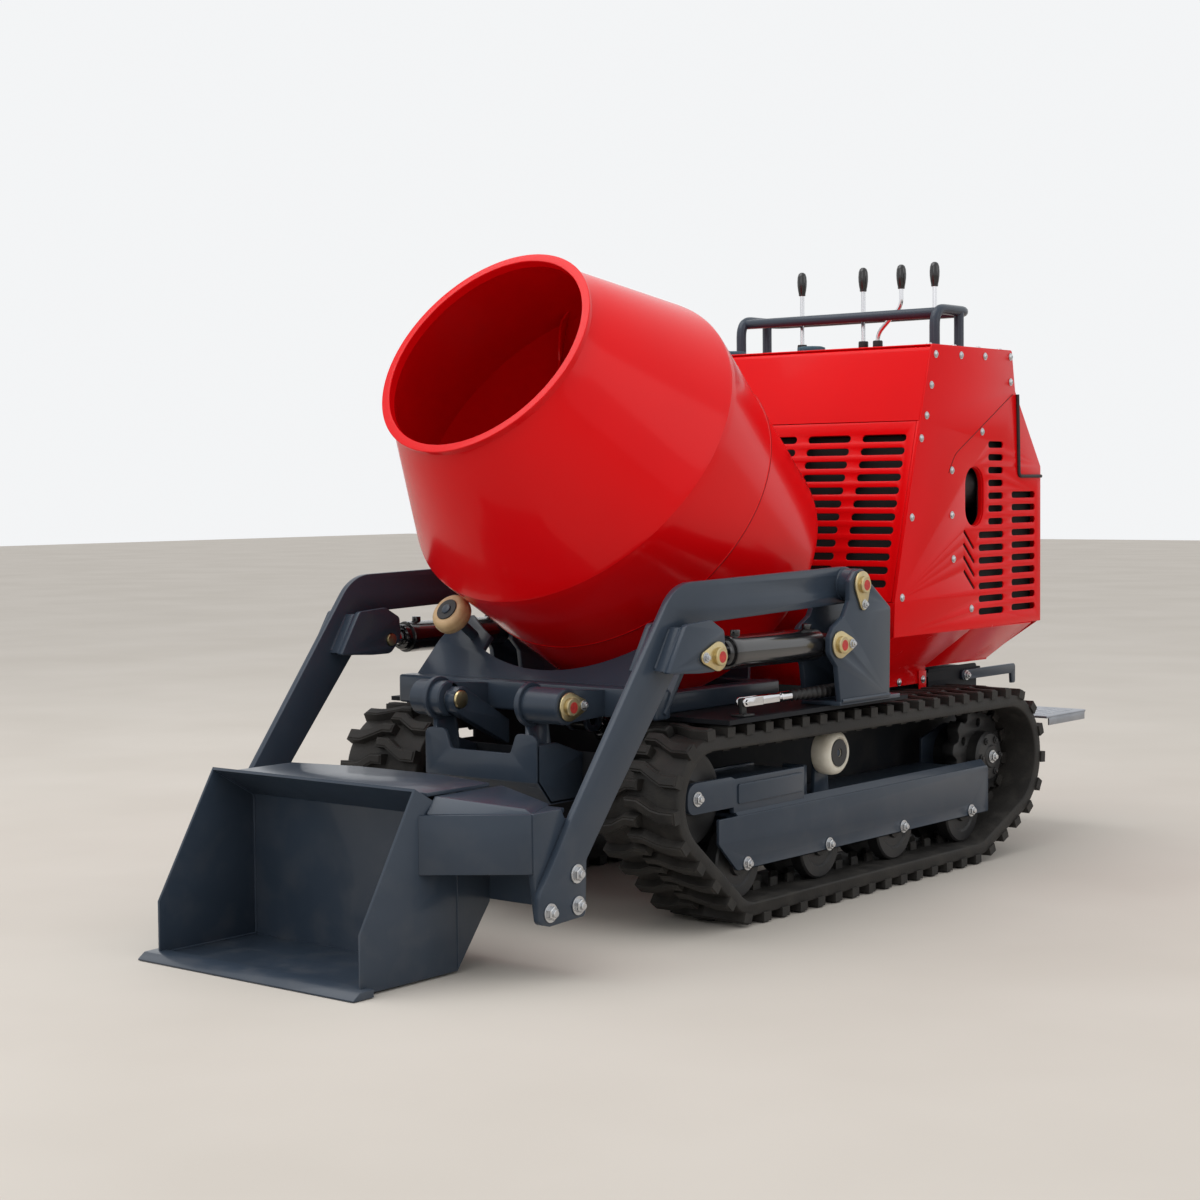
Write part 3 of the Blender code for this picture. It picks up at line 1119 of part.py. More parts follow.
# ---- rear --------------------------------------------------------------------

def platform():
    """Folding operator platform with its hinge knuckle."""
    notch = [(0.275, PLATFORM_HINGE_Y + 0.050), (0.325, PLATFORM_HINGE_Y + 0.050),
             (0.325, PLATFORM_HINGE_Y + 0.175), (0.275, PLATFORM_HINGE_Y + 0.175)]
    front = PLATFORM_HINGE_Y + 0.014
    outline = rounded([(-PLATFORM_HALF, front, 0), (PLATFORM_HALF, front, 0), (PLATFORM_HALF, PLATFORM_REAR, 0.012),
                       (-PLATFORM_HALF, PLATFORM_REAR, 0.012)])
    matrix = Matrix.Translation((0, 0, PLATFORM_Z))
    sheet = plate("platform", [outline, notch], PLATFORM_SHEET, matrix)
    half = PLATFORM_SHEET / 2
    knuckle = cross_rod("platform_knuckle", 1, (GAP - 0.200, 0.200 - GAP), PLATFORM_HINGE_Y, PLATFORM_Z, 0.015, 16)
    bridge = block("knuckle_bridge", (-0.19, PLATFORM_HINGE_Y, PLATFORM_Z - half),
                   (0.19, front + 0.01, PLATFORM_Z + half))
    stub = cross_rod("platform_pin", 1, (-0.216, 0.216), PLATFORM_HINGE_Y, PLATFORM_Z, 0.008, 16)
    hang(pivot("platform_axis", (0, PLATFORM_HINGE_Y, PLATFORM_Z)), sheet)
    return finish(fuse(sheet, knuckle, bridge, stub), CHECKER)


def latch_hook():
    """Hook that holds the folded platform."""
    outline = rounded([(HOOK_Y - 0.02, HOOK_Z - 0.012, 0.010), (1.165, HOOK_Z - 0.012, 0), (1.168, 0.408, 0),
                       (1.188, 0.408, 0.006), (1.188, HOOK_Z + 0.014, 0.010), (HOOK_Y - 0.02, HOOK_Z + 0.014, 0.010)])
    x = SKIRT_INNER + GAP
    hook = plate_yz("latch_hook", outline, x, x + 0.008, [circle(HOOK_Y, HOOK_Z, bore(0.007, 16), 16)])
    hang(pivot("hook_axis", (x, HOOK_Y, HOOK_Z)), hook)
    return finish(hook, GREY)


# ---- assembly ----------------------------------------------------------------

def build_tracks():
    for side in (-1, 1):
        track_belt(side)
        track_frame(side)
        travel_motor(side)
        sprocket(side)
        idler_yoke(side)
        idler(side)
        carrier_roller(side)
        for index in range(ROLLER_COUNT):
            track_roller(side, index)


def build_loader():
    for side in (-1, 1):
        tower(side)
        pivot_pin(side)
        loader_arm(side)
        lift_cylinder(side)
    bucket()
    bucket_carrier()


def build_drum():
    front_bracket()
    drum_cradle()
    hinge_pin()
    tilt_cylinder()
    drum()
    drum_gear_motor()
    for side in (-1, 1):
        support_roller(side)


def build_power_pack():
    cover_front()
    cover_rear()
    cover_top()
    for side in (-1, 1):
        cover_side(side)
    engine()
    muffler()
    hydraulic_tank()
    filler_cap("fuel_cap", 0.03, 0.60, 0.036, 0.014, TEAL)
    guard_rail()
    lever("lever_travel_left", (-0.166, -0.166))
    lever("lever_travel_right", (0.03, 0.03))
    lever("lever_drum", (0.075, 0.148))
    lever("lever_loader", (0.249, 0.249))


chassis_frame()
build_tracks()
build_drum()
build_loader()
build_power_pack()
platform()
latch_hook()
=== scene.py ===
import math

import bmesh
import bpy
from mathutils import Matrix, Vector


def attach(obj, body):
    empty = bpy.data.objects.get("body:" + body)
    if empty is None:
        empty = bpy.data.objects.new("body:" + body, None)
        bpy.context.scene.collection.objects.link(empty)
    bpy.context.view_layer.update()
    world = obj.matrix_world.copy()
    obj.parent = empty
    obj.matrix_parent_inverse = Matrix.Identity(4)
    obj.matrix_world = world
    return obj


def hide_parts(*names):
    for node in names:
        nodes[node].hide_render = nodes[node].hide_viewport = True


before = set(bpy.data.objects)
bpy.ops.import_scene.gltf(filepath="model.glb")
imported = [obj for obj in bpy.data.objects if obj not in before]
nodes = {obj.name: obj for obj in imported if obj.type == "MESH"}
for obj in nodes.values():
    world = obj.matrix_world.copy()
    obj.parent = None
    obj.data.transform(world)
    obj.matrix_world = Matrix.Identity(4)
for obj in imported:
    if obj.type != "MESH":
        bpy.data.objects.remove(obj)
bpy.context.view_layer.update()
sides = (-1, 1)
sideNames = {-1: "left", 1: "right"}
print("frame loaded")


# ways of making shapes

def clearSelection():
    if bpy.context.object and bpy.context.object.mode != "OBJECT":
        bpy.ops.object.mode_set(mode="OBJECT")
    bpy.ops.object.select_all(action="DESELECT")


def pick(obj):
    clearSelection()
    obj.select_set(True)
    bpy.context.view_layer.objects.active = obj
    return obj


def settle(obj, smooth=35):
    pick(obj)
    for modifier in list(obj.modifiers):
        bpy.ops.object.modifier_apply(modifier=modifier.name)
    bpy.ops.object.transform_apply(location=True, rotation=True, scale=True)
    if smooth:
        bpy.ops.object.shade_smooth_by_angle(angle=math.radians(smooth))
    return obj


def outwards(obj):
    pick(obj)
    bpy.ops.object.mode_set(mode="EDIT")
    bpy.ops.mesh.select_all(action="SELECT")
    bpy.ops.mesh.remove_doubles(threshold=0.00003)
    bpy.ops.mesh.normals_make_consistent(inside=False)
    bpy.ops.object.mode_set(mode="OBJECT")
    return obj


def place(obj, matrix):
    obj.data.transform(matrix)
    obj.data.update()
    return obj


def join(name, parts):
    clearSelection()
    for part in parts:
        part.select_set(True)
    bpy.context.view_layer.objects.active = parts[0]
    if len(parts) > 1:
        bpy.ops.object.join()
    parts[0].name = name
    parts[0].data.name = name
    return parts[0]


def newObject(name, data):
    obj = bpy.data.objects.new(name, data)
    bpy.context.scene.collection.objects.link(obj)
    return obj


def meshObject(name, verts, edges=(), faces=()):
    mesh = bpy.data.meshes.new(name)
    mesh.from_pydata(verts, edges, faces)
    return pick(newObject(name, mesh))


def addLine(curve, points, kind="POLY", cyclic=True):
    line = curve.splines.new(kind)
    line.points.add(len(points) - 1)
    for spot, point in zip(line.points, points):
        spot.co = (*point, *(0,) * (3 - len(point)), 1)
    line.use_cyclic_u = cyclic
    return line


def curveToMesh(name, curve):
    pick(newObject(name, curve))
    bpy.ops.object.convert(target="MESH")
    return outwards(bpy.context.object)


acrossPlane = Matrix(((0, 0, 1, 0), (1, 0, 0, 0), (0, 1, 0, 0), (0, 0, 0, 1)))   # drawn in y, z
frontPlane = Matrix(((1, 0, 0, 0), (0, 0, -1, 0), (0, 1, 0, 0), (0, 0, 0, 1)))   # drawn in x, z


def flatPlate(name, outline, thickness, matrix, holes=(), edge=0.0012):
    # a plate cut from sheet, with its edges broken by a small round
    curve = bpy.data.curves.new(name, "CURVE")
    curve.dimensions = "2D"
    curve.fill_mode = "BOTH"
    curve.extrude = thickness / 2 - edge
    curve.bevel_depth = edge
    curve.bevel_resolution = 1
    curve.offset = -edge
    for points in (outline, *holes):
        addLine(curve, points)
    obj = place(curveToMesh(name, curve), matrix)
    if matrix.to_3x3().determinant() < 0:
        outwards(obj)
    return settle(obj, 50)


def sidePlate(name, outline, low, high, holes=(), edge=0.0012):
    low, high = sorted((low, high))
    return flatPlate(name, outline, high - low,
            Matrix.Translation(((low + high) / 2, 0, 0)) @ acrossPlane, holes, edge)


def crossPlate(name, outline, low, high, holes=(), edge=0.0012):
    return flatPlate(name, outline, high - low, Matrix.Translation((0, (low + high) / 2, 0)) @ frontPlane,
            holes, edge)


def levelPlate(name, outline, low, high, holes=(), edge=0.0012):
    return flatPlate(name, outline, high - low, Matrix.Translation((0, 0, (low + high) / 2)), holes, edge)


def box(name, low, high, edge=0.002):
    # a block with rounded edges
    low, high = (Vector([pickOne(pair) for pair in zip(low, high)]) for pickOne in (min, max))
    clearSelection()
    bpy.ops.mesh.primitive_cube_add(size=1, location=(low + high) / 2)
    obj = bpy.context.object
    obj.name = name
    obj.scale = high - low
    bpy.ops.object.transform_apply(location=True, rotation=True, scale=True)
    bpy.ops.object.mode_set(mode="EDIT")
    bpy.ops.mesh.select_all(action="SELECT")
    bpy.ops.mesh.bevel(offset=edge, segments=2, affect="EDGES")
    bpy.ops.object.mode_set(mode="OBJECT")
    return settle(obj, 50)


def towards(origin, axis):
    turn = Vector((0, 0, 1)).rotation_difference(Vector(axis))
    return Matrix.LocRotScale(Vector(origin), turn, None)


def lathe(name, profile, origin, axis, steps=48, smooth=35):
    # profile is radius, height; it is spun round the axis and closed at its poles
    obj = meshObject(name, [(r, 0, h) for r, h in profile], [(i, i + 1) for i in range(len(profile) - 1)])
    bpy.ops.object.mode_set(mode="EDIT")
    bpy.ops.mesh.select_all(action="SELECT")
    bpy.ops.mesh.spin(steps=steps, angle=2 * math.pi, center=(0, 0, 0), axis=(0, 0, 1))
    bpy.ops.mesh.select_all(action="SELECT")
    bpy.ops.mesh.remove_doubles(threshold=0.00003)
    bpy.ops.mesh.normals_make_consistent(inside=False)
    bpy.ops.object.mode_set(mode="OBJECT")
    place(obj, towards(origin, axis))
    return settle(obj, smooth)


def cylinder(name, start, end, radius, edge=0.002, steps=32):
    start, end = Vector(start), Vector(end)
    length = (end - start).length
    return lathe(name, [(0, 0), (radius - edge, 0), (radius - edge * 0.3, edge * 0.3), (radius, edge),
            (radius, length - edge), (radius - edge * 0.3, length - edge * 0.3), (radius - edge, length),
            (0, length)], start, end - start, steps)


def ringPiece(name, start, end, outer, inner, edge=0.0015, steps=32):
    start, end = Vector(start), Vector(end)
    length = (end - start).length
    return lathe(name, [(inner, 0), (outer - edge, 0), (outer, edge), (outer, length - edge),
            (outer - edge, length), (inner, length), (inner, 0)], start, end - start, steps)


def rounded(corners, steps=6):
    # corners are a, b, radius
    points = []
    for index, (a, b, radius) in enumerate(corners):
        corner = Vector((a, b))
        if radius == 0:
            points.append(tuple(corner))
            continue
        before = (Vector(corners[index - 1][:2]) - corner).normalized()
        after = (Vector(corners[(index + 1) % len(corners)][:2]) - corner).normalized()
        half = before.angle(after) / 2
        centre = corner + (before + after).normalized() * radius / math.sin(half)
        first = corner + before * radius / math.tan(half) - centre
        last = corner + after * radius / math.tan(half) - centre
        sweep = first.angle_signed(last)
        for step in range(steps + 1):
            points.append(tuple(centre + Matrix.Rotation(-sweep * step / steps, 2) @ first))
    return points


def rectangle(a0, b0, a1, b1, radius=0, steps=6):
    return rounded([(a0, b0, radius), (a1, b0, radius), (a1, b1, radius), (a0, b1, radius)], steps)


def circlePoints(a, b, radius, steps=24):
    turn = 2 * math.pi / steps
    return [(a + radius * math.cos(turn * i), b + radius * math.sin(turn * i)) for i in range(steps)]


def slotPoints(a, b, halfLength, halfHeight, lean=0.0, steps=5):
    # a slot with round ends, its long way turned by lean
    points = []
    for end, start in ((1, -math.pi / 2), (-1, math.pi / 2)):
        for i in range(steps + 1):
            turn = start + math.pi * i / steps
            p = (end * (halfLength - halfHeight) + halfHeight * math.cos(turn), halfHeight * math.sin(turn))
            points.append((a + p[0] * math.cos(lean) - p[1] * math.sin(lean),
                    b + p[0] * math.sin(lean) + p[1] * math.cos(lean)))
    return points


def pipe(name, points, radius, cyclic=False, steps=3):
    curve = bpy.data.curves.new(name, "CURVE")
    curve.dimensions = "3D"
    curve.bevel_depth = radius
    curve.bevel_resolution = steps
    curve.use_fill_caps = not cyclic
    addLine(curve, points, "POLY", cyclic)
    return settle(curveToMesh(name, curve), 50)


def bentPath(corners, radius, steps=5):
    # points in space whose corners are rounded
    corners = [Vector(c) for c in corners]
    path = []
    last = len(corners) - 1
    for index, corner in enumerate(corners):
        if index in (0, last):
            path.append(tuple(corner))
            continue
        before = corners[index - 1] - corner
        after = corners[index + 1] - corner
        cut = min(radius, before.length * 0.49, after.length * 0.49)
        start, end = corner + before.normalized() * cut, corner + after.normalized() * cut
        for step in range(steps + 1):
            t = step / steps
            path.append(tuple(start * (1 - t) ** 2 + corner * 2 * t * (1 - t) + end * t * t))
    return path


def cut(obj, cutters):
    # one cut by several tools joined into one
    tool = join("tool", cutters)
    modifier = obj.modifiers.new("cut", "BOOLEAN")
    modifier.operation = "DIFFERENCE"
    modifier.solver = "EXACT"
    modifier.object = tool
    settle(obj, 0)
    bpy.data.objects.remove(tool, do_unlink=True)
    return obj


def copies(name, model, places):
    # one object holding a copy of the model's mesh at every place
    gathered = bmesh.new()
    for matrix in places:
        mesh = model.data.copy()
        mesh.transform(matrix)
        gathered.from_mesh(mesh)
        bpy.data.meshes.remove(mesh)
    mesh = bpy.data.meshes.new(name)
    gathered.to_mesh(mesh)
    gathered.free()
    return settle(newObject(name, mesh), 40)


def drop(*models):
    for model in models:
        bpy.data.objects.remove(model, do_unlink=True)


usualSlots = {
    "red": "red_paint", "drumRed": "red_paint", "grey": "anthracite_paint", "gold": "gold_zinc",
    "chrome": "chrome", "zinc": "chrome", "steel": "cast_steel", "gloss": "black_gloss",
    "tan": "nylon", "white": "nylon", "rubber": "black_rubber", "seal": "black_rubber",
    "teal": "teal_cap",
}


def give(obj, paint, body, stands=(), slot=None):
    # finish, the body it rides on, the nodes it stands for and its slot; the slot is not used
    obj.data.materials.clear()
    obj.data.materials.append(paints[paint])
    for face in obj.data.polygons:
        face.material_index = 0
    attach(obj, body)
    if stands:
        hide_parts(*stands)
    slot = slot or usualSlots.get(paint)
    return obj


# materials

def addNode(tree, kind, spot, **settings):
    made = tree.nodes.new(kind)
    made.location = spot
    for key, value in settings.items():
        setattr(made, key, value)
    return made


def surfaceGroup():
    group = bpy.data.node_groups.new("surfaceLife", "ShaderNodeTree")
    for socket, start in (("Blotch Scale", 4.0), ("Grain Scale", 400.0), ("Dust Scale", 14.0),
            ("Dust Top", 0.5)):
        group.interface.new_socket(socket, in_out="INPUT",
                socket_type="NodeSocketFloat").default_value = start
    for socket in ("Blotch", "Grain", "Dust"):
        group.interface.new_socket(socket, in_out="OUTPUT", socket_type="NodeSocketFloat")
    enter = addNode(group, "NodeGroupInput", (-900, 0))
    leave = addNode(group, "NodeGroupOutput", (600, 0))
    where = addNode(group, "ShaderNodeTexCoord", (-900, 300))
    link = group.links.new
    for index, (socket, detail, spot) in enumerate((("Blotch Scale", 3, 300), ("Grain Scale", 2, 0),
            ("Dust Scale", 6, -300))):
        noise = addNode(group, "ShaderNodeTexNoise", (-600, spot))
        noise.inputs["Detail"].default_value = detail
        link(where.outputs["Object"], noise.inputs["Vector"])
        link(enter.outputs[socket], noise.inputs["Scale"])
        if index == 0:
            spread = addNode(group, "ShaderNodeMapRange", (-300, spot))
            spread.inputs["From Min"].default_value = 0.35
            spread.inputs["From Max"].default_value = 0.68
            link(noise.outputs[0], spread.inputs["Value"])
            link(spread.outputs[0], leave.inputs["Blotch"])
        elif index == 1:
            link(noise.outputs[0], leave.inputs["Grain"])
        else:
            speck = addNode(group, "ShaderNodeMapRange", (-300, spot))
            speck.inputs["From Min"].default_value = 0.48
            speck.inputs["From Max"].default_value = 0.72
            link(noise.outputs[0], speck.inputs["Value"])
            parts = addNode(group, "ShaderNodeSeparateXYZ", (-600, spot - 250))
            link(where.outputs["Object"], parts.inputs[0])
            low = addNode(group, "ShaderNodeMapRange", (-300, spot - 250))
            low.inputs["From Min"].default_value = 0.0
            low.inputs["To Min"].default_value = 1.0
            low.inputs["To Max"].default_value = 0.12
            link(parts.outputs["Z"], low.inputs["Value"])
            link(enter.outputs["Dust Top"], low.inputs["From Max"])
            both = addNode(group, "ShaderNodeMath", (0, spot), operation="MULTIPLY", use_clamp=True)
            link(speck.outputs[0], both.inputs[0])
            link(low.outputs[0], both.inputs[1])
            link(both.outputs[0], leave.inputs["Dust"])
    return group


surfaceLife = surfaceGroup()


def blend(tree, spot, factor, first, second):
    made = addNode(tree, "ShaderNodeMix", spot, data_type="RGBA")
    if isinstance(factor, float):
        made.inputs[0].default_value = factor
    else:
        tree.links.new(factor, made.inputs[0])
    for index, value in ((6, first), (7, second)):
        if isinstance(value, tuple):
            made.inputs[index].default_value = (*value, 1)
        else:
            tree.links.new(value, made.inputs[index])
    return made.outputs[2]


def surface(name, colour, tone=None, rough=0.4, metal=0.0, coat=0.0, dust=0.0,
        dustColour=(0.3, 0.27, 0.23), blotch=4.0, grain=400.0, bump=0.02, bumpDepth=0.001, dustTop=0.5,
        dustScale=14.0, roughSpread=0.08, specular=0.5):
    made = bpy.data.materials.new(name)
    made.use_nodes = True
    tree = made.node_tree
    shader = tree.nodes["Principled BSDF"]
    life = addNode(tree, "ShaderNodeGroup", (-900, 0), node_tree=surfaceLife)
    life.inputs["Blotch Scale"].default_value = blotch
    life.inputs["Grain Scale"].default_value = grain
    life.inputs["Dust Scale"].default_value = dustScale
    life.inputs["Dust Top"].default_value = dustTop
    colourOut = blend(tree, (-600, 200), life.outputs["Blotch"], colour,
            tone or tuple(c * 0.86 for c in colour))
    if dust:
        amount = addNode(tree, "ShaderNodeMath", (-600, -100), operation="MULTIPLY")
        amount.inputs[1].default_value = dust
        tree.links.new(life.outputs["Dust"], amount.inputs[0])
        colourOut = blend(tree, (-350, 200), amount.outputs[0], colourOut, dustColour)
    tree.links.new(colourOut, shader.inputs["Base Color"])
    spread = addNode(tree, "ShaderNodeMapRange", (-350, -50))
    spread.inputs["To Min"].default_value = max(0.02, rough - roughSpread / 2)
    spread.inputs["To Max"].default_value = rough + roughSpread
    tree.links.new(life.outputs["Dust"] if dust else life.outputs["Blotch"], spread.inputs["Value"])
    tree.links.new(spread.outputs[0], shader.inputs["Roughness"])
    shader.inputs["Metallic"].default_value = metal
    shader.inputs["Coat Weight"].default_value = coat
    shader.inputs["Coat Roughness"].default_value = 0.06
    shader.inputs["Specular IOR Level"].default_value = specular
    lift = addNode(tree, "ShaderNodeBump", (-350, -350))
    lift.inputs["Strength"].default_value = bump
    lift.inputs["Distance"].default_value = bumpDepth
    tree.links.new(life.outputs["Grain"], lift.inputs["Height"])
    tree.links.new(lift.outputs[0], shader.inputs["Normal"])
    return made


paints = {
    "red": surface("redPaint", (0.76, 0.0022, 0.0045), (0.69, 0.0018, 0.0038), rough=0.26, coat=0.07,
            dust=0.03, dustColour=(0.16, 0.035, 0.03), blotch=2.2, grain=260.0, bump=0.04,
            bumpDepth=0.0005, dustTop=1.2, roughSpread=0.06, specular=0.11),
    "drumRed": surface("drumRed", (0.78, 0.0024, 0.005), (0.71, 0.0018, 0.004), rough=0.24, coat=0.12,
            dust=0.03, dustColour=(0.16, 0.035, 0.03), blotch=1.6, grain=180.0, bump=0.05,
            bumpDepth=0.0006, dustTop=1.4, roughSpread=0.06, specular=0.13),
    "grey": surface("anthracitePaint", (0.036, 0.05, 0.072), (0.03, 0.043, 0.063), rough=0.34, coat=0.12,
            dust=0.07, blotch=6.0, grain=320.0, bump=0.08, bumpDepth=0.0006, dustTop=0.5, roughSpread=0.1,
            specular=0.26),
    # anthracite darkened to near black: painted shade for the chassis deck in the shadow of the drum, ram and
    # arm, and for the hook plate
    "frame": surface("frameShadePaint", (0.012, 0.014, 0.018), (0.009, 0.01, 0.013), rough=0.62, dust=0.12,
            blotch=6.0, grain=320.0, bump=0.08, bumpDepth=0.0006, dustTop=0.45, roughSpread=0.1,
            specular=0.15),
    "rubber": surface("trackRubber", (0.022, 0.02, 0.018), (0.014, 0.013, 0.012), rough=0.72, dust=0.38,
            dustColour=(0.085, 0.078, 0.068), blotch=9.0, grain=240.0, bump=0.35, bumpDepth=0.002,
            dustTop=0.75, dustScale=22.0, roughSpread=0.15, specular=0.35),
    "gloss": surface("glossBlack", (0.008, 0.008, 0.009), rough=0.16, coat=0.4, bump=0.02,
            roughSpread=0.04),
    "satin": surface("satinBlack", (0.016, 0.016, 0.017), rough=0.5, bump=0.12, grain=500.0),
    "chrome": surface("chrome", (0.78, 0.78, 0.8), rough=0.1, metal=1.0, bump=0.01, roughSpread=0.05),
    "zinc": surface("brightZinc", (0.62, 0.63, 0.64), (0.5, 0.51, 0.53), rough=0.3, metal=1.0,
            blotch=60.0, bump=0.1, grain=700.0, bumpDepth=0.0005),
    "gold": surface("yellowZinc", (0.62, 0.5, 0.26), (0.52, 0.44, 0.27), rough=0.32, metal=1.0,
            blotch=45.0, bump=0.15, grain=600.0, bumpDepth=0.0006),
    "steel": surface("castSteel", (0.03, 0.03, 0.031), (0.02, 0.02, 0.021), rough=0.48, metal=0.3,
            dust=0.3, dustColour=(0.1, 0.09, 0.08), bump=0.25, grain=300.0, bumpDepth=0.001),
    "tan": surface("tanNylon", (0.62, 0.44, 0.24), (0.48, 0.31, 0.15), rough=0.52, blotch=28.0, bump=0.5,
            grain=130.0, bumpDepth=0.002),
    "white": surface("whiteNylon", (0.74, 0.7, 0.6), (0.6, 0.55, 0.44), rough=0.5, blotch=26.0, bump=0.25,
            grain=160.0, bumpDepth=0.001),
    "teal": surface("tealCap", (0.02, 0.085, 0.125), rough=0.42, bump=0.1, grain=600.0),
    "alloy": surface("engineAlloy", (0.34, 0.35, 0.36), (0.24, 0.25, 0.26), rough=0.45, metal=0.9,
            bump=0.4, grain=260.0, bumpDepth=0.001),
    # near-black for painted shade: the sheets behind the cover openings; also the dark seam line on the side
    # covers
    "hollow": surface("shadeAndSeamBlack", (0.006, 0.006, 0.006), rough=0.8, bump=0.05),
    "seam": surface("seamLine", (0.22, 0.0016, 0.0028), rough=0.6, bump=0.2, grain=500.0, specular=0.1),
    "seal": surface("rubberSeal", (0.02, 0.018, 0.018), rough=0.62, bump=0.15, grain=500.0),
    "dab": surface("redMark", (0.55, 0.03, 0.02), (0.4, 0.02, 0.02), rough=0.5, blotch=120.0, bump=0.3,
            grain=500.0),
    "plate": surface("checkerSteel", (0.36, 0.38, 0.42), (0.3, 0.32, 0.36), rough=0.38, metal=0.85,
            dust=0.25, blotch=20.0, bump=0.2, grain=420.0),
}
print("materials made")

# camera, floor and light
view = {
    "place": (3.2307, -4.1935, 0.95), "lens": 66.253, "turn": 39.2293, "down": 2.9142, "roll": -0.5141,
}


def makeCamera():
    a, e, r = (math.radians(view[k]) for k in ("turn", "down", "roll"))
    ahead = Vector((-math.sin(a) * math.cos(e), math.cos(a) * math.cos(e), -math.sin(e)))
    right = Vector((math.cos(a), math.sin(a), 0))
    up = right.cross(ahead)
    tiltedRight = right * math.cos(r) + up * math.sin(r)
    tiltedUp = up * math.cos(r) - right * math.sin(r)
    data = bpy.data.cameras.new("camera")
    data.lens = view["lens"]
    data.sensor_width = 36
    data.clip_end = 100
    camera = newObject("camera", data)
    camera.matrix_world = Matrix.Translation(view["place"]) @ Matrix((tiltedRight, tiltedUp,
            -ahead)).transposed().to_4x4()
    bpy.context.scene.camera = camera


def makeStage():
    clearSelection()
    bpy.ops.mesh.primitive_grid_add(x_subdivisions=4, y_subdivisions=4, size=60, location=(0, 0, -0.001))
    floor = bpy.context.object
    floor.name = "floor"
    floor.data.materials.append(surface("paleFloor", (0.585, 0.545, 0.495), (0.55, 0.51, 0.46),
            rough=0.85, blotch=1.2, bump=0.1, grain=90.0, roughSpread=0.05, specular=0.2))
    world = bpy.data.worlds.new("studio")
    bpy.context.scene.world = world
    world.use_nodes = True
    tree = world.node_tree
    soft = tree.nodes["Background"]
    soft.inputs["Strength"].default_value = 0.95
    where = addNode(tree, "ShaderNodeTexCoord", (-900, 0))
    parts = addNode(tree, "ShaderNodeSeparateXYZ", (-700, 0))
    ramp = addNode(tree, "ShaderNodeValToRGB", (-500, 0))
    tree.links.new(where.outputs["Generated"], parts.inputs[0])
    tree.links.new(parts.outputs["Z"], ramp.inputs[0])
    stops = ramp.color_ramp.elements
    stops[0].position, stops[0].color = 0.0, (0.5, 0.48, 0.46, 1)
    stops[1].position, stops[1].color = 0.75, (1.0, 1.0, 1.0, 1)
    mid = ramp.color_ramp.elements.new(0.16)
    mid.color = (0.74, 0.76, 0.78, 1)
    tree.links.new(ramp.outputs[0], soft.inputs["Color"])
    plain = addNode(tree, "ShaderNodeBackground", (0, -200))
    plain.inputs["Color"].default_value = (0.9, 0.91, 0.92, 1)
    rays = addNode(tree, "ShaderNodeLightPath", (0, 300))
    choose = addNode(tree, "ShaderNodeMixShader", (250, 0))
    seen = rays.outputs["Is Camera Ray"]
    for socket in ("Is Glossy Ray", "Is Transmission Ray"):
        either = addNode(tree, "ShaderNodeMath", (120, 250), operation="MAXIMUM")
        tree.links.new(seen, either.inputs[0])
        tree.links.new(rays.outputs[socket], either.inputs[1])
        seen = either.outputs[0]
    tree.links.new(seen, choose.inputs[0])
    tree.links.new(soft.outputs[0], choose.inputs[1])
    tree.links.new(plain.outputs[0], choose.inputs[2])
    tree.links.new(choose.outputs[0], tree.nodes["World Output"].inputs["Surface"])
    for name, spot, aim, size, power in (("skyPanel", (-1.5, -1.5, 6.0), (0, 0, 0.5), 5.0, 150),
            ("frontPanel", (1.0, -7.0, 4.0), (0, 0, 0.8), 4.0, 45),
            ("sidePanel", (7.0, 1.5, 4.0), (0, 0, 0.7), 4.0, 45)):
        lamp = bpy.data.lights.new(name, "AREA")
        lamp.shape = "SQUARE"
        lamp.size = size
        lamp.energy = power
        newObject(name, lamp).matrix_world = towards(spot, Vector(spot) - Vector(aim))
    bpy.context.scene.view_settings.view_transform = "Standard"


makeCamera()
makeStage()
print("camera, floor and light made")


# hardware modelled once and copied

def hexBoltModel():
    head = lathe("head", [(0, 0.002), (0.0102, 0.002), (0.0112, 0.003), (0.0112, 0.0088), (0.0096, 0.01),
            (0, 0.01)], (0, 0, 0), (0, 0, 1), 6, 20)
    washer = lathe("washer", [(0, 0), (0.015, 0), (0.0155, 0.0006), (0.0155, 0.0022), (0.015, 0.0028),
            (0, 0.0028)], (0, 0, 0), (0, 0, 1), 28)
    end = lathe("end", [(0, 0.009), (0.0062, 0.009), (0.0062, 0.013), (0.0052, 0.0142), (0, 0.0142)],
            (0, 0, 0), (0, 0, 1), 14)
    return join("hexBolt", [head, washer, end])


def buttonHeadModel():
    head = lathe("head", [(0.0022, 0.0036), (0.0022, 0.0052), (0.004, 0.0051), (0.0062, 0.004),
            (0.0072, 0.0022), (0.0072, 0.0014), (0, 0.0014), (0, 0.0036), (0.0022, 0.0036)], (0, 0, 0),
            (0, 0, 1), 20)
    washer = lathe("washer", [(0, 0), (0.0092, 0), (0.0096, 0.0004), (0.0096, 0.0012), (0.0092, 0.0016),
            (0, 0.0016)], (0, 0, 0), (0, 0, 1), 20)
    return join("buttonHead", [head, washer])


hexBolt = hexBoltModel()
buttonHead = buttonHeadModel()


def bolts(name, model, spots, axis, body, size=1.0, paint="zinc", slot="chrome"):
    places = [towards(spot, axis) @ Matrix.Scale(size, 4) for spot in spots]
    return give(copies(name, model, places), paint, body, slot=slot)


def bead(name, points, radius=0.003, cyclic=False):
    return pipe(name, points, radius, cyclic, 1)


def tearDrop(y, z, lean, big=0.031, small=0.0135, reach=0.045):
    turn = math.acos((big - small) / reach)
    points = []
    for centre, radius, start, end in ((0, big, turn, 2 * math.pi - turn), (reach, small, -turn, turn)):
        for i in range(15):
            angle = start + (end - start) * i / 14
            a, b = centre + radius * math.cos(angle), radius * math.sin(angle)
            points.append((y + a * math.cos(lean) - b * math.sin(lean),
                    z + a * math.sin(lean) + b * math.cos(lean)))
    return points


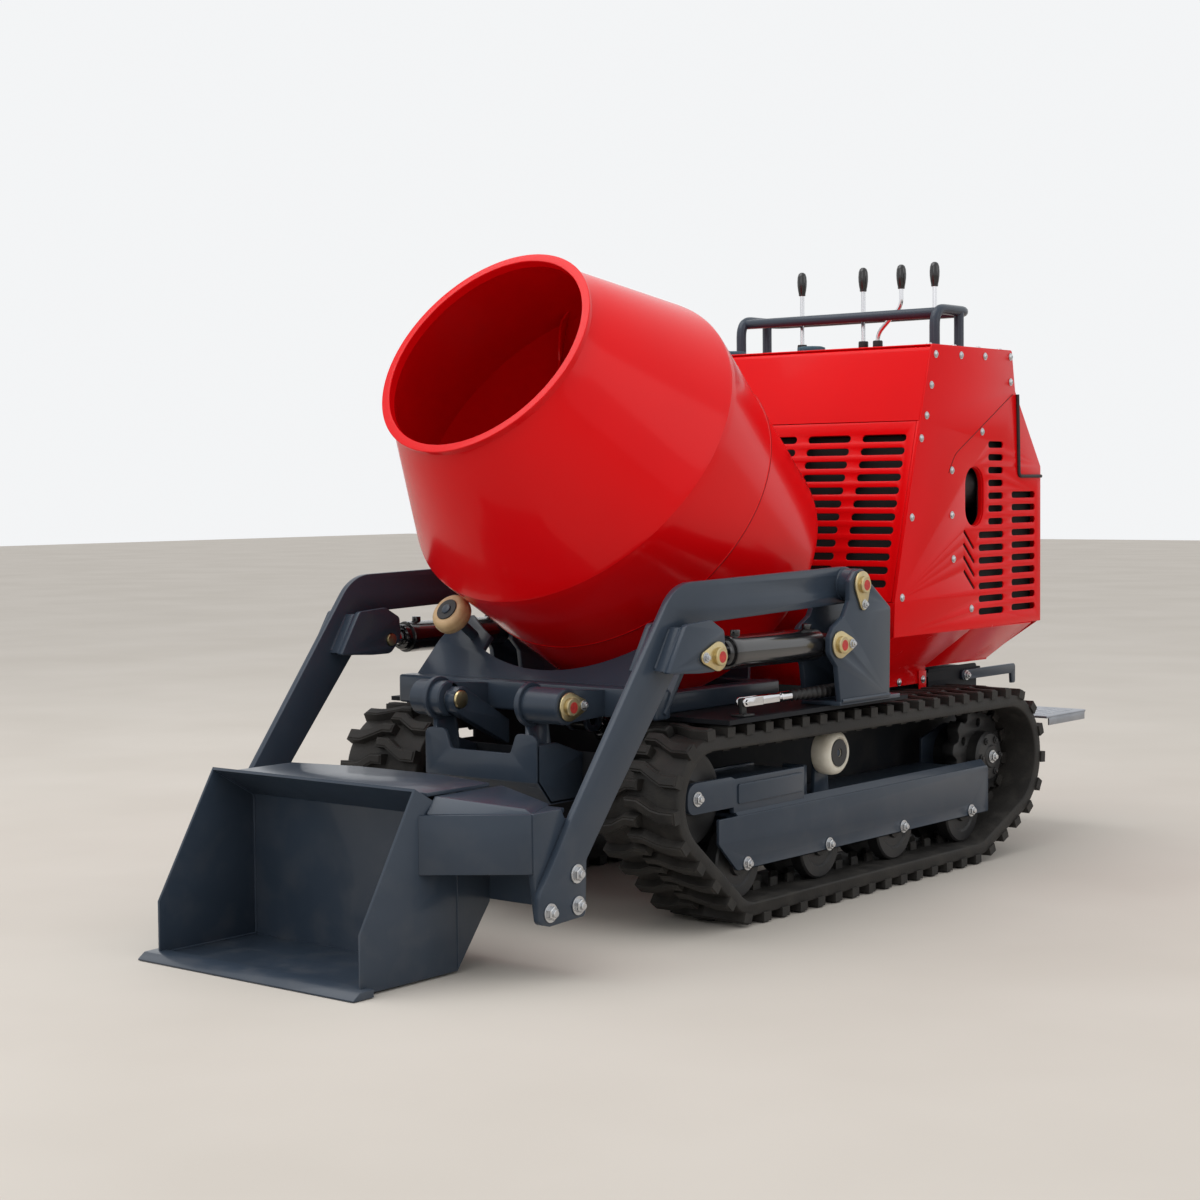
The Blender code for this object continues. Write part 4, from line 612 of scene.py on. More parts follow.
def pinFlange(name, body, x, side, y, z, lean, stands=(), extra=()):
    # yellow zinc keeper plate with its pin end, a paint mark and a small bolt
    face = x + side * 0.006
    lean = math.radians(lean)
    plate = sidePlate(name, tearDrop(y, z, lean), x + side * 0.0003, face)
    pinEnd = lathe("pinEnd", [(0, 0), (0.0195, 0), (0.0195, 0.0075), (0.0175, 0.0095), (0.006, 0.0095),
            (0.0042, 0.0065), (0, 0.0065)], (face, y, z), (side, 0, 0), 40)
    give(join(name, [plate, pinEnd, *extra]), "gold", body, stands)
    dab = lathe(name + ".mark", [(0, 0.0093), (0.0125, 0.0093), (0.0118, 0.01), (0.0075, 0.0102),
            (0, 0.0102)], (face, y + 0.001, z - 0.001), (side, 0, 0), 18)
    give(dab, "dab", body)
    tip = (face, y + 0.045 * math.cos(lean), z + 0.045 * math.sin(lean))
    bolts(name + ".bolt", hexBolt, [tip], (side, 0, 0), body, 0.72)


print("hardware made")

# tracks
track = {
    "middle": 0.375, "half": 0.115, "thick": 0.03, "lug": 0.02, "count": 50, "sprocket": (0.825, 0.25,
    0.1303), "idler": (-0.45, 0.287, 0.1053), "rollerY": -0.302, "rollerPitch": 0.323, "rollerZ": 0.1313,
    "rollerR": 0.081, "carrier": (0.079, 0.33419, 0.052),
}


def beltPath(offset, stepDegrees=4):
    wheels = [track["sprocket"], track["idler"],
            (track["rollerY"], track["rollerZ"], track["rollerR"] + 0.0003),
            (track["rollerY"] + 3 * track["rollerPitch"], track["rollerZ"], track["rollerR"] + 0.0003)]
    normals = []
    for (y0, z0, r0), (y1, z1, r1) in zip(wheels, wheels[1:] + wheels[:1]):
        run = math.atan2(z1 - z0, y1 - y0)
        normals.append(run - math.pi / 2 + math.asin((r0 - r1) / math.hypot(y1 - y0, z1 - z0)))
    points = []
    for index, (y, z, radius) in enumerate(wheels):
        start = normals[index - 1]
        sweep = (normals[index] - start) % (2 * math.pi)
        steps = max(2, math.ceil(math.degrees(sweep) / stepDegrees))
        for step in range(steps + 1):
            turn = start + sweep * step / steps
            points.append((y + (radius + offset) * math.cos(turn), z + (radius + offset) * math.sin(turn)))
    return points


def alongBelt(path, distance):
    for start, end in zip(path, path[1:] + path[:1]):
        run = Vector(end) - Vector(start)
        if distance <= run.length and run.length > 0:
            way = run.normalized()
            return Vector(start) + way * distance, Vector((way.y, -way.x))
        distance -= run.length
    return Vector(path[0]), Vector((0, 1))


def beltPlaces(side, offset, count, shift=0.0):
    # frames spaced evenly round the belt, x across, y along, z outwards
    path = beltPath(offset, 3)
    total = sum((Vector(b) - Vector(a)).length for a, b in zip(path, path[1:] + path[:1]))
    middle = Vector(path[0]) * 0.5 + Vector(path[len(path) // 2]) * 0.5
    places = []
    for index in range(count):
        spot, out = alongBelt(path, (index + shift) % count * total / count)
        if (spot - middle).dot(out) < 0:
            out = -out
        turn = Matrix(((1, 0, 0), (0, out.y, out.x), (0, -out.x, out.y)))
        places.append(Matrix.Translation((side * track["middle"], spot.x, spot.y)) @ turn.to_4x4())
    return places


def lugModel(name, outline, height, sink=0.004, taper=0.005):
    # a tread block whose sides lean in towards its top
    obj = meshObject(name, [(x, y, -sink) for x, y in outline], (), [tuple(range(len(outline)))])
    bpy.ops.object.mode_set(mode="EDIT")
    bpy.ops.mesh.select_all(action="SELECT")
    bpy.ops.mesh.extrude_region_move(TRANSFORM_OT_translate={"value": (0, 0, sink + height - 0.003)})
    bpy.ops.mesh.inset(thickness=taper * 0.55, depth=0)
    bpy.ops.mesh.inset(thickness=taper * 0.45, depth=0.003)
    bpy.ops.object.mode_set(mode="OBJECT")
    outwards(obj)
    return settle(obj, 25)


def makeBelt(side):
    name = "track_belt_" + sideNames[side]
    half = track["half"]
    loop = sidePlate(name, beltPath(track["thick"], 3), side * (track["middle"] - half + 0.004),
            side * (track["middle"] + half - 0.004), [beltPath(0, 5)], 0.004)
    blockA = [(-half, -0.013), (-0.072, -0.013), (-0.05, -0.003), (-0.014, 0.015), (0.016, 0.015),
            (0.016, 0.038), (-0.02, 0.038), (-0.056, 0.019), (-0.078, 0.015), (-half, 0.015)]
    left = lugModel("lugLeft", blockA, track["lug"])
    right = lugModel("lugRight", [(-x, y) for x, y in reversed(blockA)], track["lug"])
    horn = lugModel("horn", rectangle(-0.0037, -0.014, 0.0037, 0.014), 0.019, 0.002, 0.002)
    outer = beltPlaces(side, track["thick"], track["count"])
    shifted = beltPlaces(side, track["thick"], track["count"], 0.5)
    inner = [m @ Matrix.Translation((dx, 0, 0)) @ Matrix.Rotation(math.pi, 4,
            "Y") for m in beltPlaces(side, 0, track["count"]) for dx in (-0.0224, 0.0224)]
    pieces = [loop, copies("a", left, outer), copies("b", right, shifted), copies("c", horn, inner)]
    drop(left, right, horn)
    give(join(name, pieces), "rubber", "machine", [name])


def makeRoller(side, index):
    name = f"track_roller_{sideNames[side]}_{index + 1}"
    y = track["rollerY"] + track["rollerPitch"] * index
    r = track["rollerR"]
    half = [(0.032, 0), (0.032, 0.024), (0.05, 0.0275), (r - 0.004, 0.028), (r, 0.031), (r, 0.058),
            (r - 0.004, 0.062), (0.055, 0.062), (0.05, 0.058), (0.03, 0.058), (0.028, 0.066),
            (0.014, 0.068), (0.014, 0.0835), (0, 0.0835)]
    profile = [(a, -b) for a, b in reversed(half)] + half[1:]
    roller = lathe(name, profile, (side * track["middle"], y, track["rollerZ"]), (1, 0, 0), 56)
    give(roller, "steel", name, [name])


def makeSprocket(side):
    name = "sprocket_" + sideNames[side]
    y, z, r = track["sprocket"]
    points = []
    for tooth in range(12):
        for share, radius in ((0.02, r - 0.02), (0.2, r - 0.02), (0.32, r - 0.012), (0.42, r - 0.0015),
                (0.52, r - 0.0006), (0.72, r - 0.0006), (0.82, r - 0.0015), (0.92, r - 0.012)):
            turn = 2 * math.pi * (tooth + share) / 12
            points.append((y + radius * math.cos(turn), z + radius * math.sin(turn)))
    holes = [circlePoints(y + 0.086 * math.cos(t), z + 0.086 * math.sin(t), 0.011,
            18) for t in (2 * math.pi * (i + 0.5) / 6 for i in range(6))]
    x = side * track["middle"]
    wheel = sidePlate(name, points, x - 0.017, x + 0.017, holes, 0.002)
    hub = lathe("hub", [(0.0353, -0.0155), (0.064, -0.0155), (0.064, 0.044), (0.058, 0.05), (0.03, 0.053),
            (0.027, 0.0565), (0, 0.0565), (0, 0.0504), (0.0353, 0.0504), (0.0353, -0.0155)], (x, y, z),
            (side, 0, 0), 48)
    give(join(name, [wheel, hub]), "steel", name, [name])
    ring = [(x + side * 0.048, y + 0.046 * math.cos(t),
            z + 0.046 * math.sin(t)) for t in (2 * math.pi * i / 6 for i in range(6))]
    bolts(name + ".bolts", hexBolt, ring, (side, 0, 0), name, 0.8, "steel", "cast_steel")
    bolts(name + ".nut", hexBolt, [(x + side * 0.0563, y, z)], (side, 0, 0), name, 1.1)


def makeIdler(side):
    name = "idler_" + sideNames[side]
    y, z, r = track["idler"]
    r -= 0.0003
    half = [(0.0143, 0.046), (0.036, 0.046), (0.038, 0.044), (0.038, 0.042), (0.07, 0.036),
            (r - 0.014, 0.042), (r - 0.003, 0.042), (r, 0.039), (r, 0.0285), (r - 0.02, 0.0275),
            (r - 0.024, 0.02)]
    profile = half + [(a, -b) for a, b in reversed(half)] + half[:1]
    wheel = lathe(name, profile, (side * track["middle"], y, z), (1, 0, 0), 64)
    give(wheel, "steel", name, [name])


def makeYoke(side):
    name = "idler_yoke_" + sideNames[side]
    x, (y, z, _) = side * track["middle"], track["idler"]
    outline = rounded([(-0.501, 0.2565, 0.022), (-0.336, 0.2565, 0), (-0.336, 0.2435, 0),
            (-0.064, 0.2435, 0), (-0.064, 0.318, 0.006), (-0.33, 0.318, 0.01), (-0.346, 0.324, 0.012),
            (-0.501, 0.324, 0.03)])
    parts = [sidePlate("arm", outline, x + s * 0.0628, x + s * 0.075) for s in sides]
    parts += [box("slider", (x - 0.063, -0.305, 0.2435), (x + 0.063, -0.064, 0.312), 0.004),
            sidePlate("cap", rectangle(-0.322, 0.262, -0.074, 0.306, 0.006), x + side * 0.0745,
            x + side * 0.079), cylinder("axle", (x - 0.072, y, z), (x + 0.072, y, z), 0.0138)]
    give(join(name, parts), "grey", name, [name])
    rod = cylinder(name + ".rod", (x, -0.08, 0.277), (x, -0.0215, 0.277), 0.011)
    give(rod, "chrome", name)
    bolts(name + ".bolt", hexBolt, [(x + side * 0.075, -0.468, 0.2895)], (side, 0, 0), name, 1.05)


def makeTrackFrame(side):
    name = "track_frame_" + sideNames[side]
    s = side
    outline = rounded([(-0.404, 0.184, 0.01), (-0.337, 0.1195, 0.012), (0.755, 0.1195, 0.006),
            (0.755, 0.238, 0.012), (-0.404, 0.238, 0.003)])
    holes = [circlePoints(track["rollerY"] + track["rollerPitch"] * i, track["rollerZ"], 0.0143,
            20) for i in range(4)]
    parts = [sidePlate("outer", outline, s * 0.452, s * 0.46, holes)]
    parts.append(sidePlate("inner", outline, s * 0.29, s * 0.298, holes))
    fold = [(s * 0.46, 0.234), (s * 0.444, 0.252), (s * 0.439, 0.249), (s * 0.453, 0.233)]
    parts += [crossPlate("fold", fold, -0.33, 0.748),
            box("top", (s * 0.296, -0.327, 0.232), (s * 0.454, 0.68, 0.24), 0.001),
            sidePlate("motorPlate", rounded([(0.7, 0.165, 0.004), (0.84, 0.165, 0.05),
            (0.915, 0.25, 0.05), (0.84, 0.335, 0.05), (0.7, 0.3, 0.004)]), s * 0.2902, s * 0.2982)]
    cy, cz, _ = track["carrier"]
    parts += [sidePlate("carrierPlate", rounded([(cy - 0.032, 0.236, 0), (cy + 0.032, 0.236, 0),
            (cy + 0.02, cz + 0.02, 0.018), (cy - 0.02, cz + 0.02, 0.018)]), s * 0.39, s * 0.401),
            cylinder("carrierPin", (s * 0.396, cy, cz), (s * 0.4475, cy, cz), 0.01),
            box("stop", (s * 0.375 - 0.03, 0.0, 0.236), (s * 0.375 + 0.03, 0.014, 0.31), 0.002),
            bead("weld", [(s * 0.405, -0.02, 0.241), (s * 0.345, -0.02, 0.241)], 0.003)]
    give(join(name, parts), "grey", "machine", [name])
    spots = [(s * 0.46, track["rollerY"] + track["rollerPitch"] * i, track["rollerZ"]) for i in range(4)]
    bolts(name + ".bolts", hexBolt, spots, (s, 0, 0), "machine")


def makeCarrier(side):
    name = "carrier_roller_" + sideNames[side]
    cy, cz, cr = track["carrier"]
    profile = [(0.0104, -0.025), (cr - 0.01, -0.025), (cr - 0.002, -0.021), (cr, -0.012), (cr, 0.006),
            (cr - 0.003, 0.017), (cr - 0.011, 0.024), (0.036, 0.025), (0.033, 0.021), (0.026, 0.021),
            (0.024, 0.023), (0.0104, 0.023), (0.0104, -0.025)]
    roller = lathe(name, profile, (side * 0.427, cy, cz), (side, 0, 0), 56)
    give(roller, "white", name, [name])
    hub = ringPiece(name + ".hub", (side * 0.4485, cy, cz), (side * 0.4515, cy, cz), 0.032, 0.0104, 0.001)
    give(hub, "satin", name, slot="cast_steel")


for side in sides:
    makeBelt(side)
    makeSprocket(side)
    makeIdler(side)
    makeYoke(side)
    makeTrackFrame(side)
    makeCarrier(side)
    for index in range(4):
        makeRoller(side, index)
print("tracks made")

# mixing drum
drum = {
    "tilt": 35.5, "mouth": (0, -0.628, 1.248), "mouthR": 0.27, "crease": (0.351, 0.422), "rear": (0.865,
    0.371), "wall": 0.005, "hub": 0.045, "seam": 0.572,
}
drumTilt = math.radians(drum["tilt"])
drumAxis = Vector((0, math.cos(drumTilt), -math.sin(drumTilt)))
drumDown = Vector((0, -math.sin(drumTilt), -math.cos(drumTilt)))


def onAxis(depth, down=0.0, across=0.0):
    return Vector(drum["mouth"]) + drumAxis * depth + drumDown * down + Vector((across, 0, 0))


def drumRadius(depth):
    (d0, r0), (d1, r1) = drum["crease"], drum["rear"]
    if depth < d0:
        return 0.263 + (depth - 0.022) / (d0 - 0.022) * (r0 - 0.263)
    return r0 + (depth - d0) / (d1 - d0) * (r1 - r0)


def makeDrum():
    (creaseD, creaseR), (rearD, rearR) = drum["crease"], drum["rear"]
    wall, mouthR = drum["wall"], drum["mouthR"]
    seam = drum["seam"]
    outside = [(0.25, 0.0015), (0.2512, 0.0002), (0.255, 0.0), (0.265, 0.0), (0.2688, 0.0002),
            (mouthR, 0.0014), (mouthR, 0.0056), (0.2688, 0.0068), (0.266, 0.0072), (0.2632, 0.0098),
            (0.2632, 0.02), (0.2665, 0.03)]
    outside += [(drumRadius(d), d) for d in (0.06, 0.15, 0.25, 0.33, 0.343)]
    outside += [(creaseR - 0.0016, creaseD - 0.0025), (creaseR - 0.0008, creaseD),
            (creaseR - 0.0012, creaseD + 0.003)]
    outside += [(drumRadius(d), d) for d in (0.359, 0.375, 0.46, seam - 0.006, seam - 0.003)]
    outside += [(drumRadius(seam) + 0.0012, seam - 0.0012), (drumRadius(seam) + 0.0012, seam + 0.0012)]
    outside += [(drumRadius(d), d) for d in (seam + 0.003, seam + 0.006, 0.66, 0.76, 0.845)]
    outside += [(rearR - 0.001, rearD - 0.004), (rearR - 0.003, rearD + 0.002),
            (rearR - 0.01, rearD + 0.008), (0.35, 0.883), (0.302, 0.911), (0.24, 0.924), (0.16, 0.932),
            (0.1, 0.932), (0.094, 0.94), (drum["hub"], 0.94), (drum["hub"], 0.987), (0, 0.987)]
    inside = [(0.25, 0.0015), (0.25, 0.02)] + [(drumRadius(d) - wall - 0.004, d) for d in (0.05, 0.2,
            0.335)]
    inside += [(creaseR - wall - 0.003, creaseD), (drumRadius(0.37) - wall, 0.37),
            (drumRadius(0.6) - wall, 0.6), (rearR - wall - 0.001, 0.853), (0.35, 0.872), (0.3, 0.902),
            (0.16, 0.925), (0, 0.925)]
    profile = [(r, d) for r, d in reversed(inside)] + outside[1:]
    shell = lathe("drum", [(r, -d) for r, d in profile], onAxis(0), -drumAxis, 144, 18)
    return shell


def makeBlade(turn, start, end, sweep, height):
    # a curved mixing blade standing on the inside of the wall
    rows, steps = [], 30
    for i in range(steps + 1):
        depth = start + (end - start) * i / steps
        angle = turn + sweep * i / steps
        wallR = drumRadius(depth) - drum["wall"] - 0.004
        ease = min(1, i / 4, (steps - i) / 4) * 0.85 + 0.15
        row = []
        for share in (0, 0.5, 1.0):
            r = wallR + 0.003 - share * height * ease
            lean = angle + share * 0.1
            row.append(onAxis(depth + 0.02 * share, r * math.cos(lean), r * math.sin(lean)))
        rows.append(row)
    verts = [v for row in rows for v in row]
    faces = [(i * 3 + j, i * 3 + j + 1, i * 3 + j + 4, i * 3 + j + 3) for i in range(steps) for j in range(2)]
    obj = meshObject("blade", verts, (), faces)
    solid = obj.modifiers.new("solid", "SOLIDIFY")
    solid.thickness = 0.005
    return outwards(settle(obj, 30))


blades = [makeBlade(math.radians(a), 0.3, 0.82, math.radians(60), 0.07) for a in (80, 200, 320)]
give(join("drum", [makeDrum(), *blades]), "drumRed", "mixing_drum", ["drum"])
seamR = drumRadius(drum["seam"])
seam = lathe("drum.seam", [(seamR - 0.002, -0.0013), (seamR + 0.0012, -0.0013), (seamR + 0.0019, 0),
        (seamR + 0.0012, 0.0013), (seamR - 0.002, 0.0013), (seamR - 0.002, -0.0013)],
        onAxis(drum["seam"]), drumAxis, 144)
give(seam, "seam", "mixing_drum", slot="red_paint")
print("drum made")

# engine cover
cover = {
    "half": 0.43, "sheet": 0.004, "top": 1.295, "frontTop": (0.531, 1.295), "crease": (0.476,
    1.106), "low": (0.357, 0.668), "foot": (0.352, 0.583), "rearTop": (0.932, 1.295),
    "shoulder": (0.95, 1.19), "bend": (1.088, 0.995), "rearFoot": (1.088, 0.587), "skirtHalf": 0.297,
    "skirtRear": 1.038, "boltSpots": [(0.549, 1.27), (0.672, 1.272), (0.792, 1.274), (0.924, 1.278),
    (0.528, 1.194), (0.925, 1.213), (0.505, 1.119), (0.777, 1.083), (0.48, 1.063), (0.626, 0.985),
    (0.435, 0.871), (0.626, 0.874), (0.633, 0.764), (0.389, 0.678), (0.722, 0.636)],
}


def foldOutline(line, thickness):
    # a closed outline of a sheet folded along a line, thickness to its left
    moved = []
    for index, point in enumerate(line):
        normals = []
        for a, b in ((index - 1, index), (index, index + 1)):
            if 0 <= a and b < len(line):
                run = (Vector(line[b]) - Vector(line[a])).normalized()
                normals.append(Vector((-run.y, run.x)))
        normal = sum(normals, Vector((0, 0))).normalized()
        moved.append(tuple(Vector(point) + normal * thickness / normal.dot(normals[0])))
    return list(line) + moved[::-1]


def softLine(corners):
    # an open line whose inner corners are rounded
    line = [corners[0][:2]]
    for before, here, after in zip(corners, corners[1:], corners[2:]):
        spot = Vector(here[:2])
        a, b = (Vector(before[:2]) - spot).normalized(), (Vector(after[:2]) - spot).normalized()
        reach = here[2]
        if reach == 0:
            line.append(tuple(spot))
            continue
        for i in range(7):
            t = i / 6
            line.append(tuple(spot + a * reach * (1 - t) ** 2 + b * reach * t * t))
    line.append(corners[-1][:2])
    return line


def slopePlane(low, high, depth=0.0):
    # local x across, local y up the slope from low to high, z out of the front
    up = Vector((0, high[0] - low[0], high[1] - low[1])).normalized()
    across = Vector((1, 0, 0))
    out = across.cross(up)
    return Matrix.Translation(Vector((0, *low)) + out * depth) @ Matrix((across, up,
            out)).transposed().to_4x4()


def makeCoverFront():
    low, crease = cover["low"], cover["crease"]
    half = cover["half"] - cover["sheet"] - 0.0003
    length = math.dist(low, crease)
    plane = slopePlane(low, crease, -0.002)
    holes = []
    for row in range(12):
        t = (0.0935 + 0.0734 * row) * length
        for column in range(5):
            holes.append(slotPoints(0.3335 - 0.1605 * column, length - t, 0.0635, 0.0092))
    panel = flatPlate("cover_front", rectangle(-0.4185, 0.001, 0.4185, length - 0.001), 0.004, plane,
            holes, 0.0008)
    upper = softLine([(crease[0] + 0.0004, crease[1] + 0.001),
            (cover["frontTop"][0] - 0.001, cover["top"] - 0.0043, 0.014),
            (cover["frontTop"][0] + 0.02, cover["top"] - 0.0043)])
    parts = [panel, sidePlate("upper", foldOutline(upper, -0.004), -half, half, (), 0.0008)]
    bottom = [(cover["low"][0], cover["low"][1] - 0.0006), cover["foot"], (cover["foot"][0], 0.455)]
    skirt = sidePlate("skirt", foldOutline(bottom, 0.004), -half, half, (), 0.0008)
    cutters = []
    for side in sides:
        corner = [(side * 0.2925, 0.4), (side * 0.6, 0.4), (side * 0.6, 0.585), (side * 0.4253, 0.585),
                (side * 0.2925, 0.487)]
        cutters.append(crossPlate("corner", corner, 0.3, 0.42, (), 0.0002))
    parts.append(cut(skirt, cutters))
    for side in sides:
        inner, outer = sorted((side * 0.4195, side * half))
        strip = flatPlate("strip", rectangle(inner, 0, outer, length), 0.004, plane, (), 0.0008)
        parts.append(strip)
    give(join("cover_front", parts), "red", "machine", ["cover_front"])
    # near-black sheet behind the slots: painted shade inside the cover
    shadeSheet = flatPlate("cover_front.baffle", rectangle(-0.41, 0.03, 0.41, length - 0.03), 0.002,
            slopePlane(low, crease, -0.026), (), 0.0004)
    give(shadeSheet, "hollow", "machine")


def makeCoverSide(side):
    name = "cover_side_" + sideNames[side]
    c = cover
    outline = rounded([(*c["frontTop"], 0.01), (*c["crease"], 0.02), (*c["low"], 0.01), (*c["foot"], 0),
            (*c["rearFoot"], 0), (*c["bend"], 0.012), (*c["shoulder"], 0.008), (*c["rearTop"], 0.008)], 4)
    holes = [slotPoints(0.8475, 1.051 - 0.0327 * i, 0.0385, 0.0083) for i in range(7)]
    holes += [slotPoints(0.8245, 0.821 - 0.0325 * i, 0.0645, 0.0083) for i in range(7)]
    holes += [slotPoints(0.994, 0.922 - 0.03255 * i, 0.063, 0.0083) for i in range(10)]
    for a, b in (((0.685, 0.834), (0.736, 0.787)), ((0.683, 0.802), (0.739, 0.751)),
            ((0.683, 0.77), (0.739, 0.717)), ((0.685, 0.734), (0.739, 0.685))):
        middle = (Vector(a) + Vector(b)) / 2
        holes.append(slotPoints(*middle, math.dist(a, b) / 2, 0.0045, math.atan2(b[1] - a[1], b[0] - a[0])))
    exhaust = rectangle(0.692, 0.843, 0.785, 0.995, 0.046, 9)
    holes.append(exhaust)
    inner, outer = side * (c["half"] - c["sheet"]), side * c["half"]
    panel = sidePlate(name, outline, inner, outer, holes, 0.0008)
    fold = [(side * c["half"], c["foot"][1] + 0.001), (side * c["skirtHalf"], 0.485),
            (side * c["skirtHalf"], 0.4425)]
    fold = foldOutline(fold, -0.004 * side)
    foot = crossPlate("foot", fold, c["foot"][0] + 0.001, 0.72, (), 0.0008)
    high = [(side * c["half"], c["foot"][1] + 0.001), (side * c["skirtHalf"], 0.485),
            (side * (c["skirtHalf"] - 0.001), 0.4815)]
    rear = crossPlate("rearFoot", foldOutline(high, -0.004 * side), 0.7205, c["skirtRear"], (), 0.0008)
    give(join(name, [panel, foot, rear]), "red", "machine", [name])
    bolts(name + ".bolts", buttonHead, [(outer, y, z) for y, z in c["boltSpots"]], (side, 0, 0), "machine")
    seal = bentPath([(outer + side * 0.003, 0.957, 1.182), (outer + side * 0.003, 0.965, 0.97),
            (outer + side * 0.003, 1.084, 0.97)], 0.012, 4)
    give(pipe(name + ".seal", seal, 0.0045), "seal", "machine")
    seam = bentPath([(outer + side * 0.0002, 0.936, 1.182), (outer + side * 0.0002, 0.64, 1.024),
            (outer + side * 0.0002, 0.61, 0.978)], 0.02, 4)
    give(pipe(name + ".seam", seam, 0.0008, steps=1), "hollow", "machine")
    # rim turned inwards round the exhaust opening
    band = rectangle(0.6945, 0.8455, 0.7825, 0.9925, 0.0435, 9)
    collar = sidePlate(name + ".collar", exhaust, side * 0.4145, side * 0.4262, [band], 0.0005)
    give(collar, "red", "machine")
    # near-black sheets behind the side slots and the exhaust opening: painted shade inside the cover
    gap = rectangle(0.684, 0.834, 0.793, 1.004, 0.05)
    shadeSheet = sidePlate(name + ".baffle", [(0.655, 0.592), (1.074, 0.592), (1.074, 0.985), (0.985, 1.09),
            (0.655, 1.09)], side * 0.4045, side * 0.4065, [gap], 0.0004)
    back = sidePlate("back", rectangle(0.6, 0.76, 0.88, 1.08), side * 0.3, side * 0.302, (), 0.0004)
    give(join(name + ".baffle", [shadeSheet, back]), "hollow", "machine")
    give(crossPlate(name + ".tab", rounded([(side * 0.2975, 0.394, 0.004), (side * 0.301, 0.394, 0.001),
            (side * 0.301, 0.474, 0.001), (side * 0.2975, 0.474, 0.001)], 3), 0.682, 0.718), "red",
            "machine")


def makeCoverRear():
    c = cover
    line = [(c["rearTop"][0] + 0.001, c["top"] - 0.0043), c["shoulder"], c["bend"], c["rearFoot"],
            (c["skirtRear"], 0.485)]
    half = c["half"] - c["sheet"] - 0.0003
    panel = sidePlate("cover_rear", foldOutline(line, -0.004), -half, half, (), 0.0008)
    cutters = []
    for side in sides:
        corner = [(side * 0.2925, 0.4), (side * 0.6, 0.4), (side * 0.6, 0.589), (side * 0.4253, 0.589),
                (side * 0.2925, 0.487)]
        cutters.append(crossPlate("corner", corner, 0.95, 1.2, (), 0.0002))
    for row in range(8):
        for column in range(3):
            slot = slotPoints(0.22 * (column - 1), 0.7 + 0.03 * row, 0.085, 0.0078)
            cutters.append(crossPlate("slot", slot, 1.06, 1.12, (), 0.0002))
    give(join("cover_rear", [cut(panel, cutters)]), "red", "machine", ["cover_rear"])
    # near-black sheet behind the rear slots: painted shade inside the cover
    shadeSheet = crossPlate("cover_rear.baffle", rectangle(-0.34, 0.66, 0.34, 0.95), 1.058, 1.06, (), 0.0004)
    give(shadeSheet, "hollow", "machine")
    spots = [(x, 1.088, z) for x in (-0.4, 0.4) for z in (0.66, 0.8, 0.94)]
    bolts("cover_rear.bolts", buttonHead, spots, (0, 1, 0), "machine")
    for side in sides:
        for z in (0.68, 0.9):
            pin = cylinder(f"hinge_{sideNames[side]}_{int(z * 100)}", (side * 0.34, 1.0945, z - 0.03),
                    (side * 0.34, 1.0945, z + 0.03), 0.006)
            give(pin, "zinc", "machine")


def makeCoverTop():
    c = cover
    half = c["half"] - c["sheet"] - 0.0003
    low = (-half, c["frontTop"][0] + 0.001, c["top"] - c["sheet"])
    panel = box("cover_top", low, (half, c["rearTop"][0] - 0.001, c["top"]), 0.0016)
    give(panel, "red", "machine", ["cover_top"])
    spots = [(x, y, c["top"]) for x in (-0.405, 0.405) for y in (0.56, 0.68, 0.8, 0.91)]
    bolts("cover_top.bolts", buttonHead, spots, (0, 0, 1), "machine")


makeCoverFront()
makeCoverRear()
makeCoverTop()
for side in sides:
    makeCoverSide(side)
print("covers made")

# hand rail, levers and caps
rail = {"x": 0.3036, "front": 0.757, "rear": 0.93, "legY": 0.88, "tube": 0.0135, "z": 1.401,
        "foot": 1.2953, "bend": 0.045}


def makeRail():
    # two hoops joined round the back, with a cross tube welded into their front bends
    r = rail
    x, z, front, low = r["x"], r["z"], r["front"], r["foot"] + 0.004
    hoop = bentPath([(x, front, low), (x, front, z), (x, r["rear"], z), (-x, r["rear"], z),
            (-x, front, z), (-x, front, low)], r["bend"], 8)
    parts = [pipe("guard_rail", hoop, r["tube"], steps=5)]
    parts.append(cylinder("crossTube", (-x, front + 0.018, z - 0.009), (x, front + 0.018, z - 0.009),
            r["tube"] - 0.0004, 0.001))
    flange = [(0, 0), (0.0255, 0), (0.0265, 0.0008), (0.0265, 0.0042), (0.0255, 0.005), (0.0155, 0.0052),
            (0.0136, 0.0085)]
    for sx in (-x, x):
        parts += [lathe("leg", flange + [(0.0128, 0.012), (0.0128, 0.1045), (0, 0.1045)],
                (sx, r["legY"], r["foot"]), (0, 0, 1), 32),
                lathe("foot", flange + [(0, 0.0085)], (sx, front, r["foot"]), (0, 0, 1), 32)]
    give(join("guard_rail", parts), "grey", "machine", ["guard_rail"])


levers = {
    "lever_travel_left": (-0.166, -0.166), "lever_travel_right": (0.03, 0.03), "lever_drum": (0.075,
    0.148), "lever_loader": (0.249, 0.249), "y": 0.85, "ballZ": 1.3078, "knobTop": 1.53,
    "knobHeight": 0.064, "knobR": 0.0132,
}


